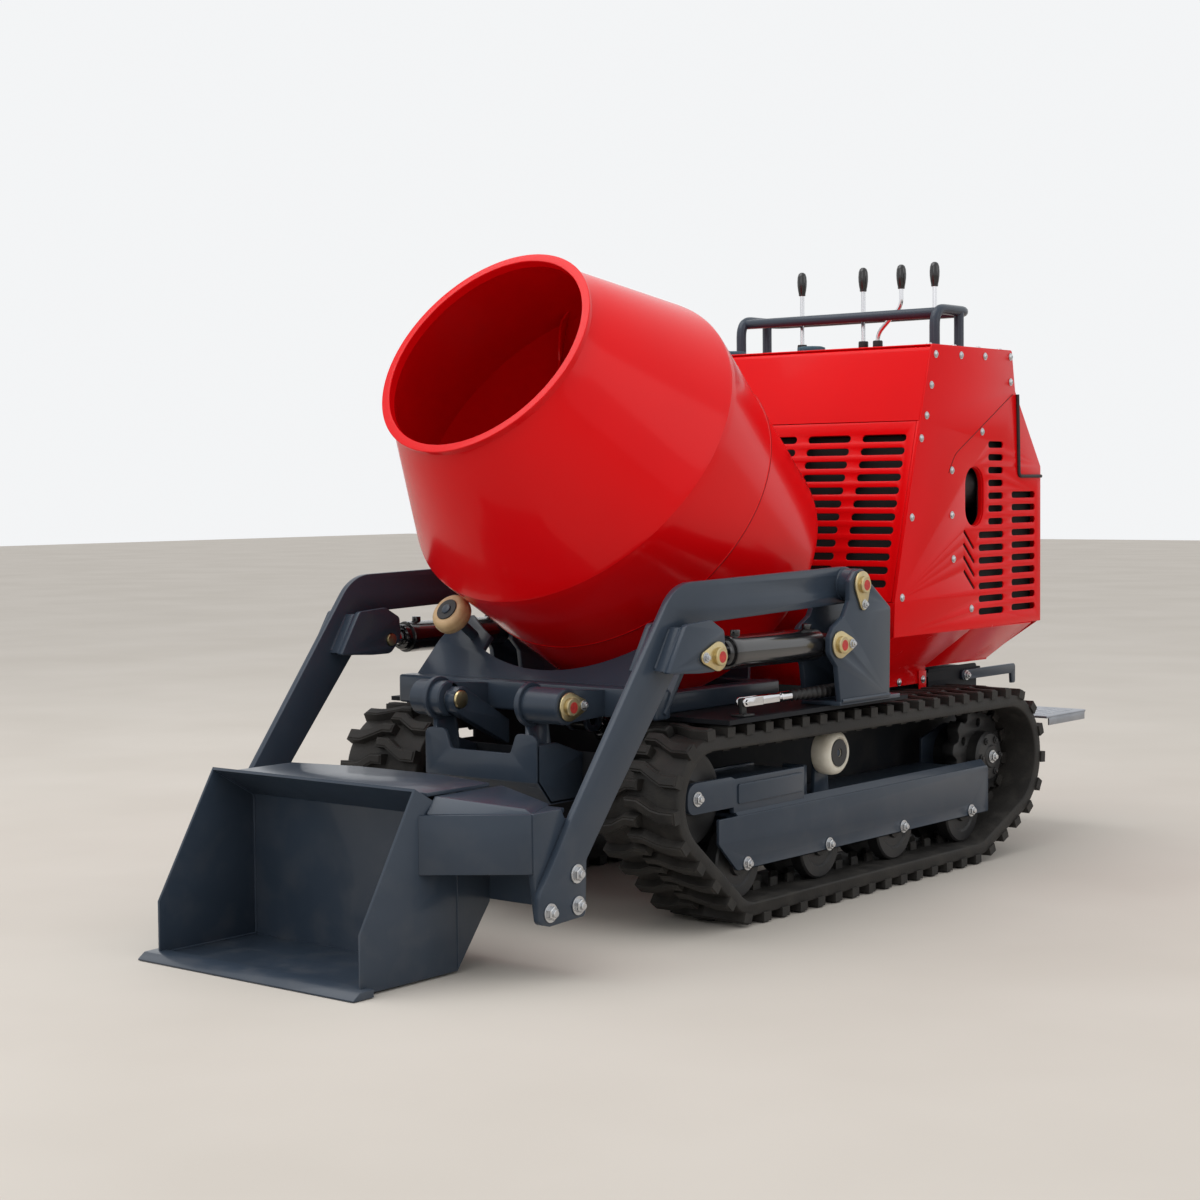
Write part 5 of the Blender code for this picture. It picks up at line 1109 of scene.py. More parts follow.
def makeLever(name):
    foot, top = levers[name]
    y, low = levers["y"], levers["knobTop"] - levers["knobHeight"]
    if foot == top:
        route = [(foot, y, levers["ballZ"]), (foot, y, low + 0.01)]
    else:
        route = bentPath([(foot, y, levers["ballZ"]), (foot, y, levers["ballZ"] + 0.045),
                (top, y, low - 0.045), (top, y, low + 0.01)], 0.02, 5)
    rod = pipe(name + ".rod", route, 0.0058, steps=4)
    give(rod, "chrome", name, [name])
    r, h = levers["knobR"], levers["knobHeight"]
    shape = [(0, 0), (0.62, 0), (0.7, 0.02), (0.72, 0.1), (0.84, 0.22), (0.97, 0.42), (1.0, 0.6),
            (0.93, 0.8), (0.72, 0.93), (0.38, 0.99), (0, 1.0)]
    knob = lathe(name + ".knob", [(a * r, b * h) for a, b in shape], (top, y, low), (0, 0, 1), 36)
    give(knob, "gloss", name, slot="knob_plastic")
    ball = lathe(name + ".ball", [(0, -0.0115)] + [(0.0115 * math.cos(t),
            0.0115 * math.sin(t)) for t in (math.radians(a) for a in range(-75, 76, 15))] + [(0, 0.0115)],
            (foot, y, levers["ballZ"]), (0, 0, 1), 28)
    give(ball, "satin", name, slot="black_gloss")
    sleeve = lathe(name + ".sleeve", [(0.0062, 0), (0.0125, 0), (0.0132, 0.002), (0.0132, 0.019),
            (0.0118, 0.022), (0.0062, 0.022), (0.0062, 0)], (foot, y, levers["ballZ"] + 0.004), (0, 0, 1),
            28)
    give(sleeve, "satin", name, slot="black_gloss")
    boot = lathe(name + ".boot", [(0.0335, 0), (0.0345, 0.002), (0.0335, 0.004), (0.03, 0.0048),
            (0.029, 0.007), (0.0265, 0.0068), (0.0255, 0.0092), (0.0235, 0.0092), (0.0235, 0.003),
            (0.0235, 0), (0.0335, 0)], (foot, y, 1.2952), (0, 0, 1), 36)
    give(boot, "satin", "machine", slot="black_rubber")


def makeCap(name, x, y, radius, height, paint, body, slot, stands=(), grips=14):
    base = 1.2953
    points = []
    for i in range(grips * 4):
        turn = 2 * math.pi * i / (grips * 4)
        points.append((x + radius * (0.93 if i % 4 in (0, 1) else 1.0) * math.cos(turn),
                y + radius * (0.93 if i % 4 in (0, 1) else 1.0) * math.sin(turn)))
    body1 = levelPlate(name, points, base, base + height * 0.82)
    crown = lathe("crown", [(0, 0), (radius * 0.84, 0), (radius * 0.84, height * 0.16),
            (radius * 0.74, height * 0.22), (radius * 0.3, height * 0.24), (0, height * 0.24)],
            (x, y, base + height * 0.76), (0, 0, 1), 40)
    give(join(name, [body1, crown]), paint, body, stands, slot=slot)


makeRail()
for name in ("lever_travel_left", "lever_travel_right", "lever_drum", "lever_loader"):
    makeLever(name)
makeCap("fuel_cap", 0.03, 0.6, 0.036, 0.014, "teal", "fuel_cap", "teal_cap", ["fuel_cap"])
makeCap("tank_cap", -0.235, 0.62, 0.036, 0.014, "teal", "machine", "teal_cap")
makeCap("filler_cap", -0.3, 0.66, 0.03, 0.02, "satin", "machine", "black_gloss")
print("rail, levers and caps made")

# loader arms, towers and lift cylinders
loader = {
    "x": 0.472, "plate": 0.016, "gap": 0.078, "towerPlate": 0.014, "pivot": (0.058,
    0.725), "barrelPin": (-0.034, 0.594), "rodPin": (-0.498, 0.598), "barrelR": 0.0365, "rodR": 0.0175,
    "arm": [(0.088, 0.682, 0.028), (0.098, 0.766, 0.034), (-0.575, 0.751, 0.11), (-0.913, 0.309, 0),
    (-1.014, 0.168, 0.03), (-1.016, 0.112, 0.012), (-0.985, 0.104, 0.01), (-0.877, 0.109, 0.01),
    (-0.873, 0.219, 0.012), (-0.769, 0.346, 0), (-0.5, 0.664, 0.075)],
    "ear": [(-0.66, 0.572, 0.003), (-0.6, 0.668, 0.012), (-0.515, 0.674, 0.01), (-0.47, 0.65, 0.012),
    (-0.466, 0.6, 0.025), (-0.5, 0.566, 0.025), (-0.56, 0.566, 0.004)],
    "tower": [(-0.026, 0.457, 0.004), (0.178, 0.457, 0.004), (0.183, 0.668, 0.012), (0.171, 0.676, 0),
    (0.098, 0.728, 0.01), (0.084, 0.75, 0.012), (0.06, 0.762, 0.02), (0.036, 0.756, 0.012),
    (0.013, 0.735, 0.01), (0.011, 0.69, 0.01), (-0.012, 0.655, 0.01), (-0.052, 0.634, 0.01),
    (-0.07, 0.612, 0.014), (-0.07, 0.575, 0.02), (-0.04, 0.545, 0.01)],
    "feet": [(-0.904, 0.196), (-0.901, 0.133), (-0.985, 0.131)],
}


def makeArm(side):
    name = "loader_arm_" + sideNames[side]
    x, half = side * loader["x"], loader["plate"] / 2
    y, z = loader["pivot"]
    reach = loader["gap"] / 2 - 0.0003
    parts = [sidePlate(name, rounded(loader["arm"], 8), x - half, x + half,
            [circlePoints(y, z, 0.0183, 40)], 0.0016)]
    for s in sides:
        inner, outer = sorted((x + s * half * 0.9, x + s * reach))
        parts.append(ringPiece("boss", (inner, y, z), (outer, y, z), 0.036, 0.0183, 0.002, 48))
        weld = [(x + s * (half + 0.001), y + 0.0365 * math.cos(t),
                z + 0.0365 * math.sin(t)) for t in (2 * math.pi * i / 28 for i in range(28))]
        parts.append(bead("weld", weld, 0.0032, True))
        inner = loader["gap"] / 2
        parts.append(sidePlate("ear", rounded(loader["ear"], 6), x + s * inner,
                x + s * (inner + loader["towerPlate"]), [circlePoints(*loader["rodPin"], 0.0158, 32)]))
    spacer = [(-0.655, 0.576), (-0.602, 0.662), (-0.58, 0.662), (-0.6, 0.6), (-0.612, 0.568)]
    parts.append(sidePlate("spacer", spacer, x - loader["gap"] / 2 - 0.002, x + loader["gap"] / 2 + 0.002))
    for s in sides:
        at = x + s * (loader["gap"] / 2 - 0.001)
        parts.append(bead("weld", [(at, -0.655, 0.573), (at, -0.606, 0.657), (at, -0.584, 0.666)], 0.0035))
        at = x + s * (half + 0.001)
        parts.append(bead("weld", [(at, -0.652, 0.581), (at, -0.604, 0.657)], 0.0035))
    give(join(name, parts), "grey", "loader", [name])
    feet = [(x + side * half, *spot) for spot in loader["feet"]]
    bolts(name + ".bolts", hexBolt, feet, (side, 0, 0), "loader", 1.22)


def makeTower(side):
    name = "tower_" + sideNames[side]
    x, gap, thick = side * loader["x"], loader["gap"] / 2, loader["towerPlate"]
    holes = [circlePoints(*loader["pivot"], 0.0183, 36), circlePoints(*loader["barrelPin"], 0.0153, 32)]
    parts = []
    for s in sides:
        parts.append(sidePlate("post", rounded(loader["tower"], 5), x + s * gap, x + s * (gap + thick),
                holes, 0.0015))
        at = x + s * (gap + thick + 0.0005)
        parts.append(bead("weld", [(at, -0.024, 0.4665), (at, 0.176, 0.4665)], 0.0042))
    parts += [box("flange", (x - gap - thick, -0.03, 0.4553), (x + gap + thick, 0.225, 0.4653), 0.002),
            box("back", (x - gap + 0.0005, 0.1655, 0.464), (x + gap - 0.0005, 0.178, 0.64), 0.002),
            bead("weld", [(x - gap, 0.1665, 0.4665), (x + gap, 0.1665, 0.4665)], 0.004)]
    give(join(name, parts), "grey", "machine", [name])
    spots = [(x + s * 0.018, 0.203, 0.4653) for s in sides]
    bolts(name + ".bolts", hexBolt, spots, (0, 0, 1), "machine", 0.95)


def makeRam(name, tag, base, eye, barrelR, rodR, halfX, barrelEnd, barrelBody, rodBody):
    base, eye = Vector(base), Vector(eye)
    way = (eye - base).normalized()
    length = (eye - base).length
    across = Vector((1, 0, 0))
    r = barrelR
    profile = [(0, 0.018), (r * 0.72, 0.018), (r - 0.004, 0.022), (r - 0.001, 0.027), (r, 0.031),
            (r, barrelEnd - 0.03), (r + 0.0006, barrelEnd - 0.027), (r + 0.0006, barrelEnd - 0.002),
            (r - 0.001, barrelEnd), (r - 0.006, barrelEnd), (r - 0.006, barrelEnd + 0.012),
            (r - 0.008, barrelEnd + 0.0155), (rodR + 0.0045, barrelEnd + 0.016),
            (rodR + 0.0035, barrelEnd + 0.013), (rodR + 0.0006, barrelEnd + 0.012), (rodR + 0.0006, 0.1),
            (0, 0.1)]
    parts = [lathe(name + "_barrel" + tag, profile, base, way, 56)]
    parts += [ringPiece("eye", base - across * halfX, base + across * halfX, 0.028, 0.014, 0.002, 48),
            cylinder("pin", base - across * halfX * 0.98, base + across * halfX * 0.98, 0.0148, 0.001)]
    side = Vector((0, -way.z, way.y))
    if side.z < 0:
        side = -side
    for at in (0.052, barrelEnd - 0.04):
        spot = base + way * at + side * (r - 0.003)
        parts.append(cylinder("port", spot, spot + side * 0.014, 0.0105, 0.0015, 24))
    barrel = join(name + "_barrel" + tag, parts)
    give(barrel, "gloss", barrelBody, [name + "_barrel" + tag])
    shaft = lathe(name + "_rod" + tag, [(0, 0.112), (rodR - 0.001, 0.112), (rodR, 0.114),
            (rodR, length - 0.022), (0, length - 0.022)], base, way, 40)
    give(shaft, "chrome", rodBody, [name + "_rod" + tag])
    end = [ringPiece("rodEye", eye - across * halfX, eye + across * halfX, 0.0262, 0.014, 0.002, 48)]
    end += [lathe("neck", [(0, length - 0.05), (rodR + 0.003, length - 0.05),
            (rodR + 0.0045, length - 0.048), (rodR + 0.0045, length - 0.02), (0, length - 0.02)], base,
            way, 32), cylinder("rodPin", eye - across * halfX * 0.98, eye + across * halfX * 0.98, 0.0148,
            0.001)]
    give(join(name + "_rodEye" + tag, end), "gloss", rodBody)


def makeLift(side):
    name = sideNames[side]
    x = side * loader["x"]
    makeRam("lift", "_" + name, (x, *loader["barrelPin"]), (x, *loader["rodPin"]), loader["barrelR"],
            loader["rodR"], loader["gap"] / 2 - 0.0004, 0.365, "lift_barrel_" + name, "lift_rod_" + name)
    outer = x + side * (loader["gap"] / 2 + loader["towerPlate"])
    y, z = loader["pivot"]
    pin = cylinder("pivotPin", (side * 0.415, y, z), (outer, y, z), 0.018)
    pinFlange("arm_pivot_pin_" + name, "machine", outer, side, y, z, -85, ["arm_pivot_pin_" + name], [pin])
    pinFlange("barrel_keeper_" + name, "machine", outer, side, *loader["barrelPin"], 0)
    pinFlange("rod_keeper_" + name, "loader", outer, side, *loader["rodPin"], 180)
    for at, body in ((loader["barrelPin"], "machine"), (loader["rodPin"], "loader")):
        pin = cylinder(f"keeperPin_{name}_{body}", (side * 0.4155, *at), (side * 0.4325, *at), 0.0145)
        give(pin, "gold", body)


for side in sides:
    makeArm(side)
    makeTower(side)
    makeLift(side)
makeRam("tilt", "", (0, 0.15, 0.25), (0, -0.3, 0.42), 0.03, 0.015, 0.0215, 0.4, "tilt_barrel", "tilt_rod")
print("loader arms and cylinders made")

# bucket and its carrier
bucket = {"half": 0.2923, "wall": 0.006, "ground": 0.004, "lipHalf": 0.3105, "back": -1.046, "shelf": 0.312}


def makeBucket():
    half, wall, ground, back, shelf = (bucket[k] for k in ("half", "wall", "ground", "back", "shelf"))
    cheek = [(-1.312, ground), (back, ground), (-0.95, 0.128), (-0.95, 0.2), (back, shelf),
            (-1.16, 0.376), (-1.312, 0.117)]
    parts = []
    for s in sides:
        parts.append(sidePlate("cheek", cheek, s * (half - wall), s * half))
    line = softLine([(-1.32, ground), (back, ground, 0.006), (back, shelf, 0.006), (-1.16, 0.376)])
    parts.append(sidePlate("shell", foldOutline(line, wall), wall * 0.5 - half, half - wall * 0.5, (),
            0.001))
    lip = [(-1.35, 0.0005), (-1.35, 0.003), (-1.333, 0.015), (-1.296, 0.016), (-1.296, 0.0005)]
    parts.append(sidePlate("lip", lip, -bucket["lipHalf"], bucket["lipHalf"], (), 0.0008))
    inner = half - wall - 0.0005
    for s in sides:
        weld = bentPath([(s * inner, -1.29, ground + wall + 0.001),
                (s * inner, back - wall - 0.001, ground + wall + 0.001),
                (s * inner, back - wall - 0.001, shelf - 0.004), (s * inner, -1.153, 0.366)], 0.008, 4)
        parts += [bead("weld", weld, 0.0026),
                bead("weld", [(s * (half + 0.0004), back, 0.01), (s * (half + 0.0004), back, 0.205)],
                0.0012)]
    parts.append(bead("weld", [(-inner, -1.2955, 0.0115), (inner, -1.2955, 0.0115)], 0.0026))
    # ribs behind the back wall that meet the beam
    rib = [(back - 0.002, 0.01), (-0.95, 0.128), (-0.95, 0.2), (back - 0.002, shelf - 0.004)]
    for x in (-0.1, 0.1):
        parts.append(sidePlate("rib", rib, x - 0.003, x + 0.003, (), 0.001))
    give(join("bucket", parts), "grey", "loader", ["bucket"])


def makeBucketCarrier():
    half = bucket["half"]
    plateOut = loader["x"] - loader["plate"] / 2 - 0.0003
    plateIn = plateOut - 0.016
    parts = [box("bucket_carrier", (-plateIn, -0.9497, 0.132), (plateIn, -0.885, 0.3), 0.003)]
    cheek = rounded([(-1.013, 0.325, 0.003), (-1.012, 0.214, 0.003), (-0.996, 0.106, 0.01),
            (-0.877, 0.109, 0.01), (-0.873, 0.225, 0.006), (-0.93, 0.325, 0.006)], 4)
    for s in sides:
        parts.append(sidePlate("armPlate", cheek, s * plateIn, s * plateOut, (), 0.0014))
        wing = [(s * (half + 0.0004), -1.153), (s * (plateIn + 0.012), -1.0205),
                (s * (plateIn + 0.012), -1.006), (s * (half + 0.0004), -1.1395)]
        parts.append(levelPlate("wing", wing if s > 0 else wing[::-1], 0.208, 0.324))
        gusset = [(s * (half + 0.0004), -1.142), (s * (plateIn + 0.002), -1.01),
                (s * (plateIn + 0.002), -0.905), (s * (half + 0.0004), -0.905)]
        parts += [levelPlate("gusset", gusset if s > 0 else gusset[::-1], 0.3135, 0.3235),
                box("post", (s * 0.2, -0.948, 0.29), (s * 0.212, -0.9, 0.358), 0.0015),
                bead("weld", [(s * (plateIn - 0.001), -0.9497, 0.136),
                (s * (plateIn - 0.001), -0.9497, 0.297)], 0.0035)]
        # folded cover plate from the top edge of the bucket down to the wing
        rise = [Vector((s * 0.287, -1.102, 0.356)), Vector((s * 0.442, -1.01, 0.334)),
                Vector((s * 0.385, -0.906, 0.334)), Vector((s * 0.287, -0.906, 0.356))]
        low = [Vector((s * 0.296, -1.137, 0.3235)), Vector((s * 0.46, -1.013, 0.3235)),
                Vector((s * 0.401, -0.886, 0.3235)), Vector((s * 0.296, -0.886, 0.3235))]
        walls = [(i, i + 4, (i + 1) % 4 + 4, (i + 1) % 4) for i in range(4)]
        folded = meshObject("cover", rise + low, (), [(0, 1, 2, 3), (7, 6, 5, 4), *walls])
        soften = folded.modifiers.new("soften", "BEVEL")
        soften.width = 0.003
        soften.segments = 2
        parts.append(outwards(settle(outwards(folded), 40)))
    top = [(-0.287, -1.1225), (0.287, -1.1225), (0.287, -0.942), (0.12, -0.905), (-0.12, -0.905),
            (-0.287, -0.942)]
    parts.append(levelPlate("top", top, 0.356, 0.364))
    give(join("bucket_carrier", parts), "grey", "loader", ["bucket_carrier"])


makeBucket()
makeBucketCarrier()
print("bucket made")

# cradle under the drum, and the bracket that carries it
cradle = {"hinge": (-0.64, 0.488), "tube": 0.039, "low": 0.4553, "high": 0.5003, "saddle": 0.565,
        "plate": 0.012, "recess": 0.468, "saddleHalf": 0.385, "rollerDepth": {-1: 0.47, 1: 0.603},
        "rollerTurn": {-1: 33, 1: 44}, "rollerR": 0.0475, "motorDepth": 0.975}


def drumPlane(depth):
    across = Vector((1, 0, 0))
    turn = Matrix((across, drumDown, across.cross(drumDown))).transposed()
    return Matrix.Translation(onAxis(depth)) @ turn.to_4x4()


def rollerCentre(side):
    depth, turn = cradle["rollerDepth"][side], math.radians(cradle["rollerTurn"][side])
    reach = drumRadius(depth - 0.02) + cradle["rollerR"] + 0.0006
    return onAxis(depth, reach * math.cos(turn), side * reach * math.sin(turn))


def footDistance(depth):
    return (onAxis(depth).z - (cradle["low"] + 0.012)) / math.cos(drumTilt)


def arcPoints(radius, low, high, steps):
    turns = [math.radians(low + (high - low) * i / steps) for i in range(steps + 1)]
    return [(radius * math.sin(t), radius * math.cos(t)) for t in turns]


def makeSaddle():
    # round recess under the drum, with an ear at each end for a roller's stub
    half, foot = cradle["saddleHalf"], footDistance(cradle["saddle"])
    edge = (arcPoints(0.432, -40, -27, 6) + arcPoints(cradle["recess"], -25.6, 36.0,
            32) + arcPoints(0.424, 38, 51, 6))
    outer = rounded([(0.358, 0.285, 0.012), (half, 0.36, 0.015), (half, foot, 0.002),
            (-half, foot, 0.002), (-0.352, 0.405, 0.02), (-0.321, 0.338, 0.012)], 5)
    parts = [flatPlate("saddle", edge + outer, cradle["plate"], drumPlane(cradle["saddle"]), (), 0.0014)]
    for x in (-0.15, 0.15):
        bottom = onAxis(cradle["saddle"] + 0.004, foot - 0.03, x)
        gusset = [(bottom.y, bottom.z), (bottom.y + 0.155, cradle["high"] - 0.001),
                (bottom.y + 0.012, cradle["high"] - 0.001)]
        parts.append(sidePlate("gusset", gusset, x - 0.005, x + 0.005, (), 0.001))
    return parts


def makeCradle():
    low, high = cradle["low"], cradle["high"]
    y, z = cradle["hinge"]
    front = onAxis(cradle["saddle"], footDistance(cradle["saddle"])).y - 0.025
    motorFoot = onAxis(cradle["motorDepth"], footDistance(cradle["motorDepth"]))
    half = cradle["saddleHalf"] - 0.005
    parts = [box("drum_cradle", (-half, front, low), (half, front + 0.05, high + 0.02), 0.006)]
    for s in sides:
        parts.append(box("rail", (s * 0.26, front + 0.02, low), (s * 0.31, motorFoot.y + 0.03, high), 0.005))
        end = rollerCentre(s)
        parts.append(cylinder("stub", end + drumAxis * s * 0.0265,
                end + drumAxis * (cradle["saddle"] - cradle["rollerDepth"][s]), 0.0118))
    parts.append(box("eyeBeam", (-0.309, -0.32, low + 0.001), (0.309, -0.28, high - 0.001), 0.004))
    for s in sides:
        outline = rounded([(-0.328, 0.392, 0.024), (-0.272, 0.392, 0.024), (-0.272, high - 0.006, 0),
                (-0.328, high - 0.006, 0)], 6)
        parts.append(sidePlate("lug", outline, s * 0.022, s * 0.032, [circlePoints(-0.3, 0.42, 0.0155, 28)]))
    parts += makeSaddle()
    parts.append(box("rearBeam", (-0.309, motorFoot.y - 0.02, low + 0.001),
            (0.309, motorFoot.y + 0.025, high - 0.001), 0.004))
    drop = footDistance(cradle["motorDepth"])
    mount = rounded([(-0.1, -0.11, 0.02), (0.1, -0.11, 0.02), (0.24, drop, 0.002), (-0.24, drop, 0.002)], 5)
    parts.append(flatPlate("mount", mount, 0.012, drumPlane(cradle["motorDepth"] + 0.006),
            [circlePoints(0, 0, 0.049, 40)], 0.0014))
    for start, end in ((0.118, 0.2395), (-0.1895, -0.1)):
        parts.append(ringPiece("hingeTube", (start, y, z), (end, y, z), cradle["tube"], 0.0203, 0.003, 56))
    for x in (0.224, -0.115):
        arm = rounded([(y + 0.008, z + 0.036, 0.004), (front + 0.03, high + 0.012, 0),
                (front + 0.03, low + 0.004, 0), (y - 0.008, z - 0.036, 0.004)], 3)
        parts.append(sidePlate("hingeArm", arm, x, x + 0.015))
    give(join("drum_cradle", parts), "grey", "cradle", ["drum_cradle"])
    pins = [cylinder("hingePin", (start, y, z), (end, y, z), 0.02) for start,
            end in ((0.117, 0.24), (-0.1895, -0.064))]
    pinFlange("hinge_pin", "cradle", 0.24, 1, y, z, 0, ["hinge_pin"], pins)


def makeSupportRoller(side):
    name = "support_roller_" + sideNames[side]
    centre = rollerCentre(side)
    # barrel shaped, with ribs left by the mould
    profile = [(0.0123, -0.0205), (0.034, -0.0205), (0.04, -0.019), (0.044, -0.015), (0.0463, -0.0095),
            (0.0463, -0.007), (0.0473, -0.005), (0.0475, 0.0000), (0.0473, 0.005), (0.0463, 0.007),
            (0.0463, 0.0095), (0.044, 0.015), (0.04, 0.019), (0.034, 0.0205), (0.0123, 0.0205),
            (0.0123, -0.0205)]
    roller = lathe(name, profile, centre, -drumAxis, 64)
    give(roller, "tan", name, [name])
    hub = ringPiece(name + ".hub", centre + drumAxis * side * 0.0205, centre + drumAxis * side * 0.0235,
            0.027, 0.0123, 0.001)
    give(hub, "satin", name, slot="cast_steel")


def makeBracket():
    front, back, half, low, top = -0.655, -0.5003, 0.163, 0.32, 0.424
    y, z = cradle["hinge"]
    outline = rounded([(-half, low, 0.002), (half, low, 0.002), (half, top, 0.018), (0.105, top, 0.014),
            (0.088, 0.38, 0.012), (-0.088, 0.38, 0.012), (-0.105, top, 0.014), (-half, top, 0.018)], 6)
    parts = [crossPlate("front_bracket", outline, front, front + 0.01, (), 0.0014)]
    floor = foldOutline([(front, low + 0.003), (front + 0.045, 0.27), (back, 0.27)], 0.008)
    parts.append(sidePlate("floor", floor, -half, half))
    for s in sides:
        wall = [(front + 0.004, 0.402), (front + 0.004, low), (front + 0.045, 0.272), (back, 0.272),
                (back, 0.372), (front + 0.07, 0.402)]
        parts.append(sidePlate("wall", rounded([(*p, 0.003) for p in wall], 3), s * (half - 0.012), s * half))
        ear = [(y - 0.012, 0.36), (y + 0.075, 0.3), (y + 0.046, z), (y - 0.012, z - 0.03)]
        a, b = sorted((s * 0.1292, s * 0.1408))
        earPiece = sidePlate("ear", ear, a, b, (), 0.001)
        parts += [cut(earPiece, [cylinder("hole", (a - 0.02, y, z), (b + 0.02, y, z), 0.0396)]),
                ringPiece("earRing", (a - 0.0002, y, z), (b + 0.0002, y, z), 0.0475, 0.0396, 0.0015, 56),
                box("web", (s * 0.13, y - 0.006, 0.31), (s * 0.156, y + 0.05, 0.37), 0.002)]
    parts.append(bead("weld", [(-half + 0.004, front + 0.003, low + 0.001),
            (half - 0.004, front + 0.003, low + 0.001)], 0.003))
    # link plate from the left knuckle back to the frame
    link = rounded([(y - 0.026, z + 0.004, 0.02), (y + 0.006, z + 0.031, 0.02), (-0.478, 0.43, 0.004),
            (-0.478, 0.374, 0.004), (y - 0.012, z - 0.028, 0.02)], 6)
    parts.append(sidePlate("link", link, -0.098, -0.07, [circlePoints(y, z, 0.0203, 32)], 0.0018))
    give(join("front_bracket", parts), "grey", "machine", ["front_bracket"])


def makeGearMotor():
    start = onAxis(cradle["motorDepth"] + 0.0123)
    case = lathe("drum_gear_motor", [(0, 0), (0.085, 0), (0.085, 0.014), (0.078, 0.017), (0.076, 0.048),
            (0.08, 0.051), (0.08, 0.066), (0.074, 0.074), (0.05, 0.075), (0.048, 0.08), (0.048, 0.138),
            (0.044, 0.145), (0, 0.145)], start, drumAxis, 56)
    give(case, "steel", "cradle", ["drum_gear_motor"])
    ring = []
    for i in range(10):
        t = 2 * math.pi * i / 10
        ring.append(start + drumAxis * 0.0135 + drumDown * 0.08 * math.cos(t)
                + Vector((0.08 * math.sin(t), 0, 0)))
    bolts("drum_gear_motor.bolts", hexBolt, ring, drumAxis, "cradle", 0.45)


makeCradle()
makeBracket()
makeGearMotor()
for side in sides:
    makeSupportRoller(side)
print("cradle made")

# platform, hook and the cable by the right tower
rear = {"half": 0.434, "hinge": (1.105, 0.325), "end": 1.35, "sheet": 0.006, "hook": (0.922, 0.447),
        "hookX": 0.293}


def makePlatform():
    y, z = rear["hinge"]
    half, front = rear["half"], rear["hinge"][0] + 0.014
    outline = rounded([(-half, front, 0.002), (half, front, 0.002), (half, rear["end"], 0.012),
            (-half, rear["end"], 0.012)], 4)
    notch = rectangle(0.275, y + 0.05, 0.325, y + 0.175, 0.006, 3)
    parts = [levelPlate("platform", outline, z - 0.003, z + 0.003, [notch], 0.0012)]
    for start, end in ((-0.1995, -0.06), (0.06, 0.1995)):
        parts += [cylinder("knuckle", (start, y, z), (end, y, z), 0.0148),
                box("bridge", (start + 0.008, y + 0.004, z - 0.0028),
                (end - 0.008, front + 0.008, z + 0.0028), 0.001)]
    parts.append(cylinder("pin", (-0.216, y, z), (0.216, y, z), 0.0078))
    for s in sides:
        parts.append(box("sideEdge", (s * (half - 0.0045), front + 0.012, z - 0.022),
                (s * half, rear["end"] - 0.014, z), 0.001))
    lozenge = lathe("tread", [(0, 0.0012), (0.45, 0.0011), (0.8, 0.0006), (1.0, -0.0003), (0, -0.0003)],
            (0, 0, 0), (0, 0, 1), 10)
    pitch = 0.0265
    places = []
    for i in range(33):
        for j in range(9):
            x, yy = -half + 0.016 + pitch * i, front + 0.014 + pitch * j
            if yy > rear["end"] - 0.01 or x > half - 0.01 or (0.262 < x < 0.338 and y + 0.036 < yy < y
                    + 0.19):
                continue
            lean = math.radians(45 if (i + j) % 2 else -45)
            places.append(Matrix.Translation((x, yy, z + 0.003)) @ Matrix.Rotation(lean, 4,
                    "Z") @ Matrix.Diagonal((0.011, 0.0032, 1, 1)))
    parts.append(copies("treads", lozenge, places))
    drop(lozenge)
    give(join("platform", parts), "plate", "platform", ["platform"], slot="checker_plate")


def makeHook():
    y, z = rear["hook"]
    outline = rounded([(y - 0.02, z - 0.012, 0.01), (1.165, z - 0.012, 0.003), (1.168, 0.408, 0.002),
            (1.188, 0.408, 0.006), (1.188, z + 0.014, 0.01), (y - 0.02, z + 0.014, 0.01)], 5)
    hook = sidePlate("latch_hook", outline, rear["hookX"], rear["hookX"] + 0.008,
            [circlePoints(y, z, 0.0074, 20)], 0.001)
    give(hook, "grey", "latch_hook", ["latch_hook"])
    bolts("latch_hook.bolt", hexBolt, [(rear["hookX"] + 0.0085, y, z)], (1, 0, 0), "machine", 0.85)
    carrier = rounded([(0.742, 0.412, 0.004), (0.99, 0.412, 0.004), (0.99, 0.475, 0.008),
            (0.742, 0.475, 0.008)], 4)
    plate = sidePlate("hookPlate", carrier, 0.287, 0.2925, (), 0.001)
    struts = [cylinder("strut", (0.24, yy, 0.44), (0.288, yy, 0.44), 0.01) for yy in (0.77, 0.96)]
    # darkened frame paint as painted shade under the cover skirt; the plate's own paint is anthracite
    give(join("hookPlate", [plate, *struts]), "frame", "machine", slot="anthracite_paint")
    bolts("skirt.bolts", buttonHead, [(0.3012, 0.7, 0.452), (0.3012, 0.7, 0.41), (0.2976, 0.59, 0.452),
            (0.2976, 0.48, 0.452)], (1, 0, 0), "machine", 1.0)


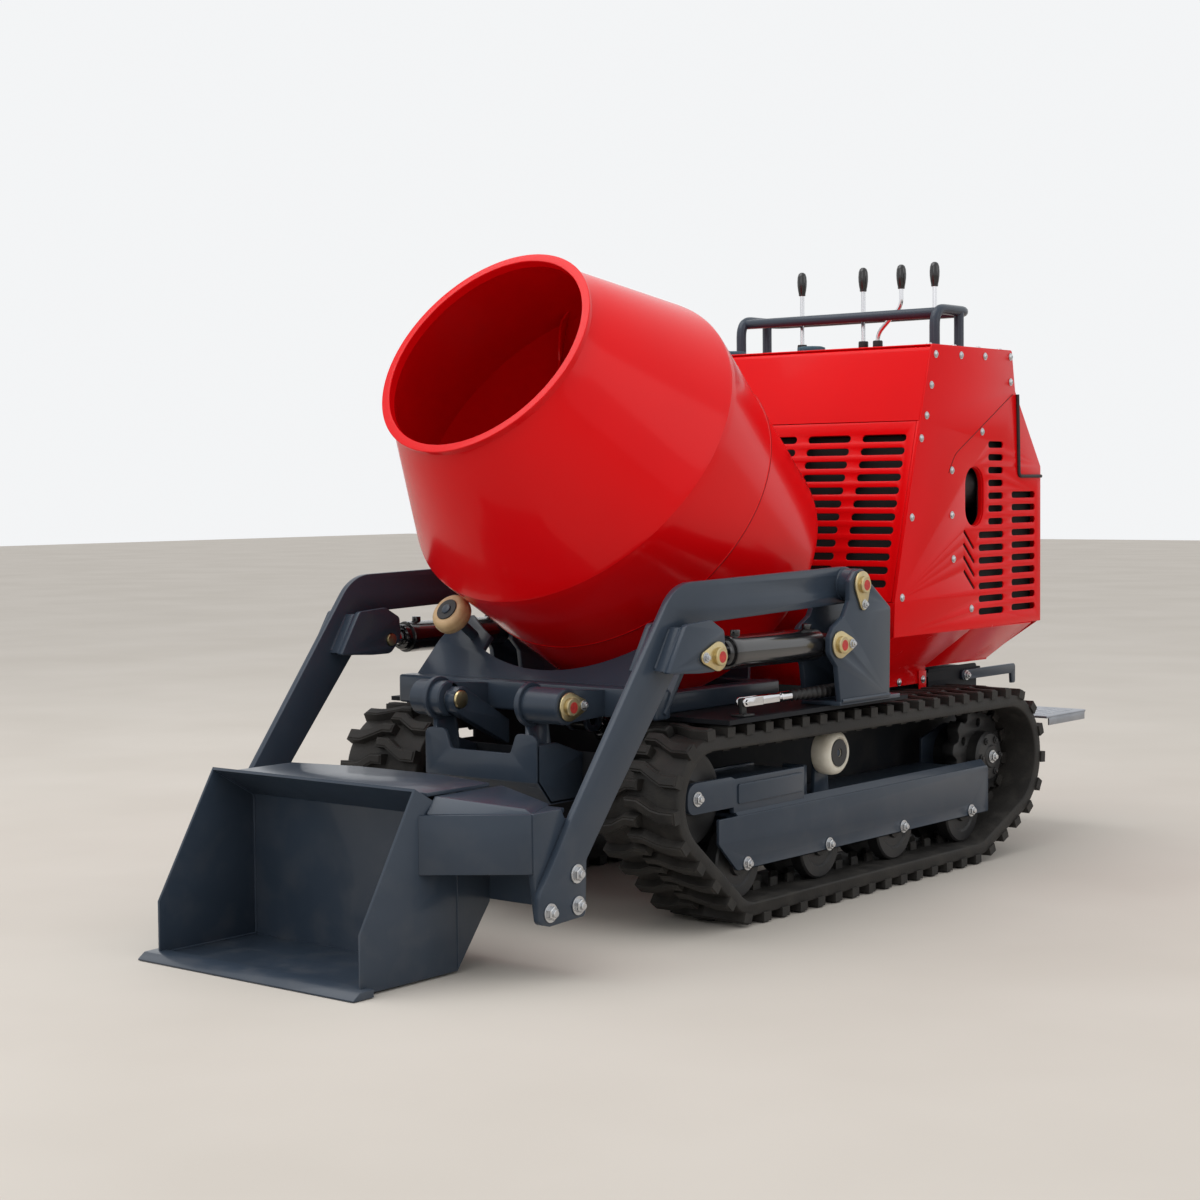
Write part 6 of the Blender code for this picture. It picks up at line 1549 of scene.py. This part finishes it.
def makeCable():
    # pull cable under the right lift cylinder: clevis, rod, ribbed boot and the block it runs from
    x, z = loader["x"], 0.486
    boot, bootEnd, forkPin = 0.084, -0.158, -0.332
    ribs = [(0, 0), (0.0125, 0)]
    count = 12
    pitch = (boot - bootEnd - 0.008) / count
    for i in range(count):
        at = 0.004 + i * pitch
        r = 0.0165 - 0.0004 * i
        ribs += [(r - 0.004, at), (r, at + pitch * 0.25), (r, at + pitch * 0.55),
                (r - 0.004, at + pitch * 0.8)]
    ribs += [(0.008, boot - bootEnd), (0, boot - bootEnd)]
    give(lathe("cableBoot", ribs, (x, boot, z), (0, -1, 0), 32), "satin", "machine", slot="black_rubber")
    collar = lathe("cableNut", [(0, 0), (0.0105, 0), (0.0115, 0.001), (0.0115, 0.034), (0.0105, 0.035),
            (0.008, 0.036), (0.008, 0.052), (0, 0.052)], (x, bootEnd + 0.001, z), (0, -1, 0), 24)
    tongue = box("fork", (x - 0.0115, forkPin + 0.058, z - 0.0095),
            (x + 0.0115, bootEnd - 0.048, z + 0.0095), 0.002)
    clevis = [cylinder("cableRod", (x, bootEnd - 0.04, z), (x, forkPin + 0.062, z), 0.006), collar, tongue]
    for s in sides:
        tine = sidePlate("tine", rounded([(forkPin - 0.011, z - 0.01, 0.009),
                (forkPin + 0.062, z - 0.01, 0.002), (forkPin + 0.062, z + 0.01, 0.002),
                (forkPin - 0.011, z + 0.01, 0.009)], 4), x + s * 0.006, x + s * 0.0115)
        clevis.append(tine)
    clevis.append(cylinder("forkPin", (x - 0.016, forkPin, z), (x + 0.016, forkPin, z), 0.006))
    give(join("cableClevis", clevis), "chrome", "machine")
    # stand and block drawn satin black instead of their anthracite paint: painted shade under the lift
    # cylinder
    stand = [box("stand", (x - 0.005, forkPin - 0.009, 0.4552), (x + 0.005, forkPin + 0.009, z + 0.009),
            0.002), box("standFoot", (x - 0.018, forkPin - 0.02, 0.4552),
            (x + 0.018, forkPin + 0.02, 0.4612), 0.002),
            box("blockFoot", (x - 0.02, boot - 0.002, 0.4652), (x + 0.02, boot + 0.012, z + 0.016),
            0.003)]
    give(join("cableStand", stand), "satin", "machine", slot="anthracite_paint")


makePlatform()
makeHook()
makeCable()
print("rear parts made")

# chassis_frame takes the darkened frame paint: painted shade for the deck, which lies in the shadow of the
# drum, ram and arm; its own paint is anthracite
for name, paint, slot in (("chassis_frame", "frame", "anthracite_paint"),
        ("engine", "alloy", "engine_alloy"), ("muffler", "satin", "cast_steel"),
        ("hydraulic_tank", "grey", "tank_plastic"), ("travel_motor_left", "steel", "cast_steel"),
        ("travel_motor_right", "steel", "cast_steel")):
    nodes[name].data.materials.clear()
    nodes[name].data.materials.append(paints[paint])
print("carried-over nodes given their finish")

# end of the script
drop(hexBolt, buttonHead)
